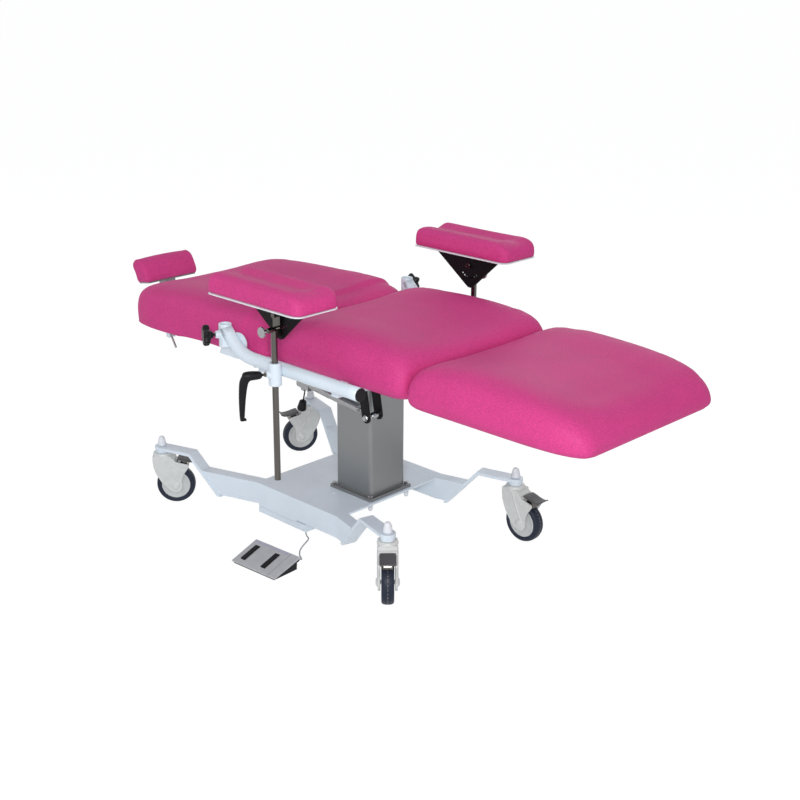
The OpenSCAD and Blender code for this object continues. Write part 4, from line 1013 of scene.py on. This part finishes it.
def sideTube(word, side):
    # centre line: a level run, then an even bend into the socket, where its end is cut to the socket's round
    y = side * tubeSet["y"]
    curve = smoothPath([(px, y, pz) for px, pz in tubeSet["bend"]], 7)
    level = np.linspace(tubeSet["foot"], -40, 12)
    path = np.concatenate([np.stack([level, np.full(12, y), np.full(12, tubeSet["z"])], -1), curve])
    rings = tubeRings(path, tubeSet["radius"], 48)
    way = unit(path[-1] - path[-2])
    # run of each line of the last ring to the middle of the socket's wall: |o + t w| = r in plan
    off = rings[-1, :, :2] - np.array([tubeSet["socket"][0], y])
    square, cross = (way[:2] ** 2).sum(), off @ way[:2]
    root = np.maximum(0, cross ** 2 - square * ((off ** 2).sum(1) - tubeSet["inSocket"] ** 2))
    rings[-1] += ((-cross - np.sqrt(root)) / square)[:, None] * way
    loftPiece("sideTube_" + word, toRow(rings), *white)


def pivotPlate(word, side):
    # a round head on a foot that runs down to the cross tube, 8 mm thick with rounded edges
    hx, hz, rx, rz = pivotSet["head"]
    head = [(hx + rx * math.cos(t), hz + rz * math.sin(t)) for t in np.linspace(-0.35, math.pi, 29)]
    outline = np.array(head + pivotSet["foot"])
    mx, mz = outline.mean(0)
    rows = [[((x - mx) * g + mx, side * (pivotSet["y"] + d), (z - mz) * g + mz) for x, z in outline]
            for d, g in pivotSet["rows"]]
    sharpened(loftPiece("pivotPlate_" + word, toRow(rows), *white).data, 40)


for side, word in ((-1, "right"), (1, "left")):
    sideTube(word, side)
    x, low, high = tubeSet["socket"]
    socket = ringProfile("socket_" + word, x, side * tubeSet["y"], [
        (low + 1.2, 19.0), (low + 6, 19.05), (high - 6, 19.05), (high - 1.4, 19.0), (high - 0.3, 18.2),
        (high, 17.2), (high - 0.2, 15.4), (high - 1.2, 14.3), (high - 4, 14.2), (low + 4, 14.2),
        (low + 1, 14.4), (low, 15.4), (low, 17.6), (low + 0.4, 18.6)])
    x, y, low, high, r, bore = tubeSet["collar"]
    ringProfile("collar_" + word, x, side * y, [
        (low + 2.4, r - 0.1), (low + 6, r), (high - 6, r), (high - 2.4, r - 0.1), (high - 0.7, r - 1),
        (high, r - 2.6), (high, bore + 1.4), (high - 0.8, bore + 0.3), (high - 3, bore), (low + 3, bore),
        (low + 0.8, bore + 0.3), (low, bore + 1.4), (low, r - 2.6), (low + 0.7, r - 1)])
    outWay = np.array([-0.5, side * 0.8660254, 0])
    for label, (x, y, z, r, end) in bossSet.items():
        profile = [(12.0, r + 3.4), (17.5, r + 3.2), (19.2, r + 1.4), (21, r + 0.4), (end - 2.2, r),
                   (end - 0.6, r - 0.6), (end, r - 2)]
        turned(label + word, profile, toRow((x, side * y, z)), outWay, *white, around=40)
    pivotPlate(word, side)
    if side > 0:
        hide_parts("side_tubes")
print("side tubes, sockets and collars made")


# --- star knobs and clamping levers -----------------------------------

def fitting(at, direction):
    # maps (out, across, up) millimetres of a fitting to the row's frame, out being its own axis
    d = unit(np.asarray(direction, float))
    up = np.array([0, 0, 1.0])
    across = np.cross(up, d)

    def place(pts):
        p = np.asarray(pts, float) / 1000
        return np.asarray(at) + p[..., 0:1] * d + p[..., 1:2] * across + p[..., 2:3] * up
    return place


# knob rows are (out, share of the star, plain radius)
knobSet = {"at": (-213, 379, 672.0), "lobes": 6, "outer": 32.0, "inner": 24.5,
           "rows": [(36, 0, 9), (38, 0, 10), (42, 0, 13), (45, 0, 15.5), (46.2, 0.80, 0), (47.2, 0.90, 0),
                    (49.5, 0.97, 0), (53, 1, 0), (58, 1, 0), (62, 0.975, 0), (64.4, 0.92, 0), (65.8, 0.83, 0),
                    (66.4, 0.72, 0), (66.0, 0, 15), (65.2, 0, 9)],
           "stud": [(15, 3.9), (37, 3.9)], "nut": [(29.4, 5.4), (30, 6.2), (33.4, 6.2), (34, 5.4)]}
leverSet = {"at": (45, 414, 619.0),
            "hub": [(37, 6.5), (38, 8.4), (41, 9.2), (42, 11), (45, 11.8), (46, 11.2), (48, 11.8), (62, 13),
                    (72, 13.2), (82, 12.4), (88, 10.5), (91, 7), (92.5, 3)],
            "spine": [(58, 0, 0), (70, 0, -0.5), (80, 0, -5), (87, 0, -16), (90.5, 0, -34), (93, 0, -60),
                      (94.6, 0, -90), (95.4, 0, -118), (95.6, 0, -129)],
            "deep": ([0, 0.25, 0.45, 0.7, 0.93, 1], [11.5, 13.0, 12.0, 9.2, 6.2, 5.6]),
            "wide": ([0, 0.25, 0.5, 0.8, 1], [10.5, 10.5, 9.6, 8.2, 7.6]),
            "lip": [[(84, -7, -124), (84, 7, -124), (90, 7, -121.5), (90, -7, -121.5)],
                    [(83.4, -7, -128), (83.4, 7, -128), (90, 7, -129), (90, -7, -129)]],
            "stud": [(12.2, 3.9), (38, 3.9)], "nut": [(25.2, 5.6), (25.8, 6.6), (30.4, 6.6), (31, 5.6)]}


def squared(v):
    # draws a circle's sine or cosine out toward a rounded square
    return np.sign(v) * np.abs(v) ** 0.72


def starKnob(word, place):
    # radius in the angle a is a mean plus a cosine of six lobes, its faces rounded in over 4 mm
    a = angles(120)
    mean, swing = (knobSet["outer"] + knobSet["inner"]) / 2, (knobSet["outer"] - knobSet["inner"]) / 2
    star = mean + swing * np.cos(knobSet["lobes"] * a)
    rows = []
    for out, g, fixed in knobSet["rows"]:
        r = star * g if g else np.full(len(a), float(fixed))
        rows.append(np.stack([np.full(len(a), float(out)), r * np.sin(a), r * np.cos(a)], -1))
    knob = loftPiece("starKnob_" + word, place(rows), "knob_" + word, "black_plastic")
    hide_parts("star_knob_" + word)


def clampLever(word, place, at, way):
    # a ribbed hub on the bolt, then an arm that turns down, thins and ends in a small lip
    spine = smoothPath(leverSet["spine"], 6)
    t = np.linspace(0, 1, len(spine))
    deep, wide = np.interp(t, *leverSet["deep"]), np.interp(t, *leverSet["wide"])
    tan = units(np.gradient(spine, axis=0))
    nrm = np.stack([-tan[:, 2], np.zeros(len(tan)), tan[:, 0]], -1)
    b = angles(40)
    arm = spine[:, None] + deep[:, None, None] * squared(np.cos(b))[None, :, None] * nrm[:, None]
    arm[..., 1] += wide[:, None] * squared(np.sin(b))[None]
    loose = (None, "black_plastic")
    parts = [loftPiece("leverArm", place(arm), *loose),
             turned("leverHub", leverSet["hub"], at, way, *loose, around=44),
             loftPiece("leverLip", place(leverSet["lip"]), *loose)]
    lever = moulded(joined(parts, "clampLever_" + word, "black_plastic"), 0.0012, 4)
    standIn(lever, "clamp_" + word, "clamp_lever_" + word)


for side, word in ((-1, "right"), (1, "left")):
    way = (-0.5, side * 0.8660254, 0)
    for label, body, sizes in (("star", "knob_" + word, knobSet), ("lever", "clamp_" + word, leverSet)):
        x, y, z = sizes["at"]
        at = toRow((x, side * y, z))
        if label == "star":
            starKnob(word, fitting(at, way))
        else:
            clampLever(word, fitting(at, way), at, way)
        turned(label + "Stud_" + word, sizes["stud"], at, way, body, "steel", "chrome", 24)
        turned(label + "Nut_" + word, sizes["nut"], at, way, body, "steel", "chrome", 6, smooth=False)
print("knobs and levers made")


# --- floor, backdrop and lamps -----------------------------------------

lightSet = {"world": 0.38, "share": 0.84, "glow": 1.12}
floorHalf = 70.0


def anyRay(nt, *kinds):
    # 1 for a ray of any of the named kinds, otherwise 0
    rays = newNode(nt, "LightPath")
    total = rays.outputs[kinds[0]]
    for kind in kinds[1:]:
        total = maths(nt, "MAXIMUM", total, rays.outputs[kind])
    return total


def maths(nt, operation, first, second):
    node = newNode(nt, "Math")
    node.operation = operation
    nt.links.new(first, node.inputs[0])
    nt.links.new(second, node.inputs[1])
    return node.outputs[0]


def blended(nt, share, first, second, output):
    mix = newNode(nt, "MixShader", Fac=share)
    nt.links.new(first, mix.inputs[1])
    nt.links.new(second, mix.inputs[2])
    fill(nt, nt.nodes[output], Surface=mix.outputs["Shader"])


def floorMaterial():
    # pale paper that camera and mirror rays see as pure white where nothing shades it
    m, nt, sh, vec = material("floorPaper")
    fill(nt, sh, Base_Color=(0.86, 0.86, 0.87, 1), Roughness=0.9, Specular_IOR_Level=0.1)
    glow = newNode(nt, "Emission", Color=(1, 1, 1, 1), Strength=lightSet["glow"])
    share = newNode(nt, "Value")
    share.outputs[0].default_value = lightSet["share"]
    seen = maths(nt, "MULTIPLY", anyRay(nt, "Is Camera Ray", "Is Glossy Ray"), share.outputs[0])
    blended(nt, seen, sh.outputs["BSDF"], glow.outputs["Emission"], "Material Output")
    return m


floorVerts = [(x * floorHalf, y * floorHalf, 0) for x, y in ((-1, -1), (1, -1), (1, 1), (-1, 1))]
looks["floor_paper"] = floorMaterial()
newPiece("floor", floorVerts, [(0, 1, 2, 3)], None, "floor_paper", smooth=False)

world = bpy.data.worlds.new("studio")
bpy.context.scene.world = world
world.use_nodes = True
nt = world.node_tree
dim = fill(nt, nt.nodes["Background"], Color=(0.93, 0.95, 1.0, 1), Strength=lightSet["world"])
paper = newNode(nt, "Background", Color=(1, 1, 1, 1), Strength=1.0)
blended(nt, anyRay(nt, "Is Camera Ray", "Is Transmission Ray", "Is Glossy Ray"), dim.outputs["Background"],
        paper.outputs["Background"], "World Output")


lampSet = {
    "key": {"place": (3.0, -3.1, 2.1), "aim": (0, 0, 0.5), "size": (1.1, 0.9), "power": 122.0},
    "fill": {"place": (-3.4, -2.6, 2.2), "aim": (0, 0, 0.5), "size": (2.4, 2.0), "power": 20.0,
             "colour": (0.95, 0.97, 1.0)},
    "back": {"place": (-1.6, 4.0, 2.3), "aim": (0, 0, 0.5), "size": (2.2, 1.8), "power": 16.0},
    "top": {"place": (0.3, 0.6, 3.6), "aim": (0, 0, 0.4), "size": (3.0, 2.4), "power": 12.0},
}
for name, lamp in lampSet.items():
    data = bpy.data.lights.new(name, "AREA")
    data.shape = "RECTANGLE"
    data.size, data.size_y = lamp["size"]
    data.energy = lamp["power"]
    data.color = lamp.get("colour", (1, 1, 1))
    obj = placed(name, data)
    obj.location = lamp["place"]
    obj.rotation_euler = (Vector(lamp["aim"]) - Vector(lamp["place"])).to_track_quat("-Z", "Y").to_euler()
bpy.context.scene.view_settings.view_transform = "Standard"
print("floor and light set")
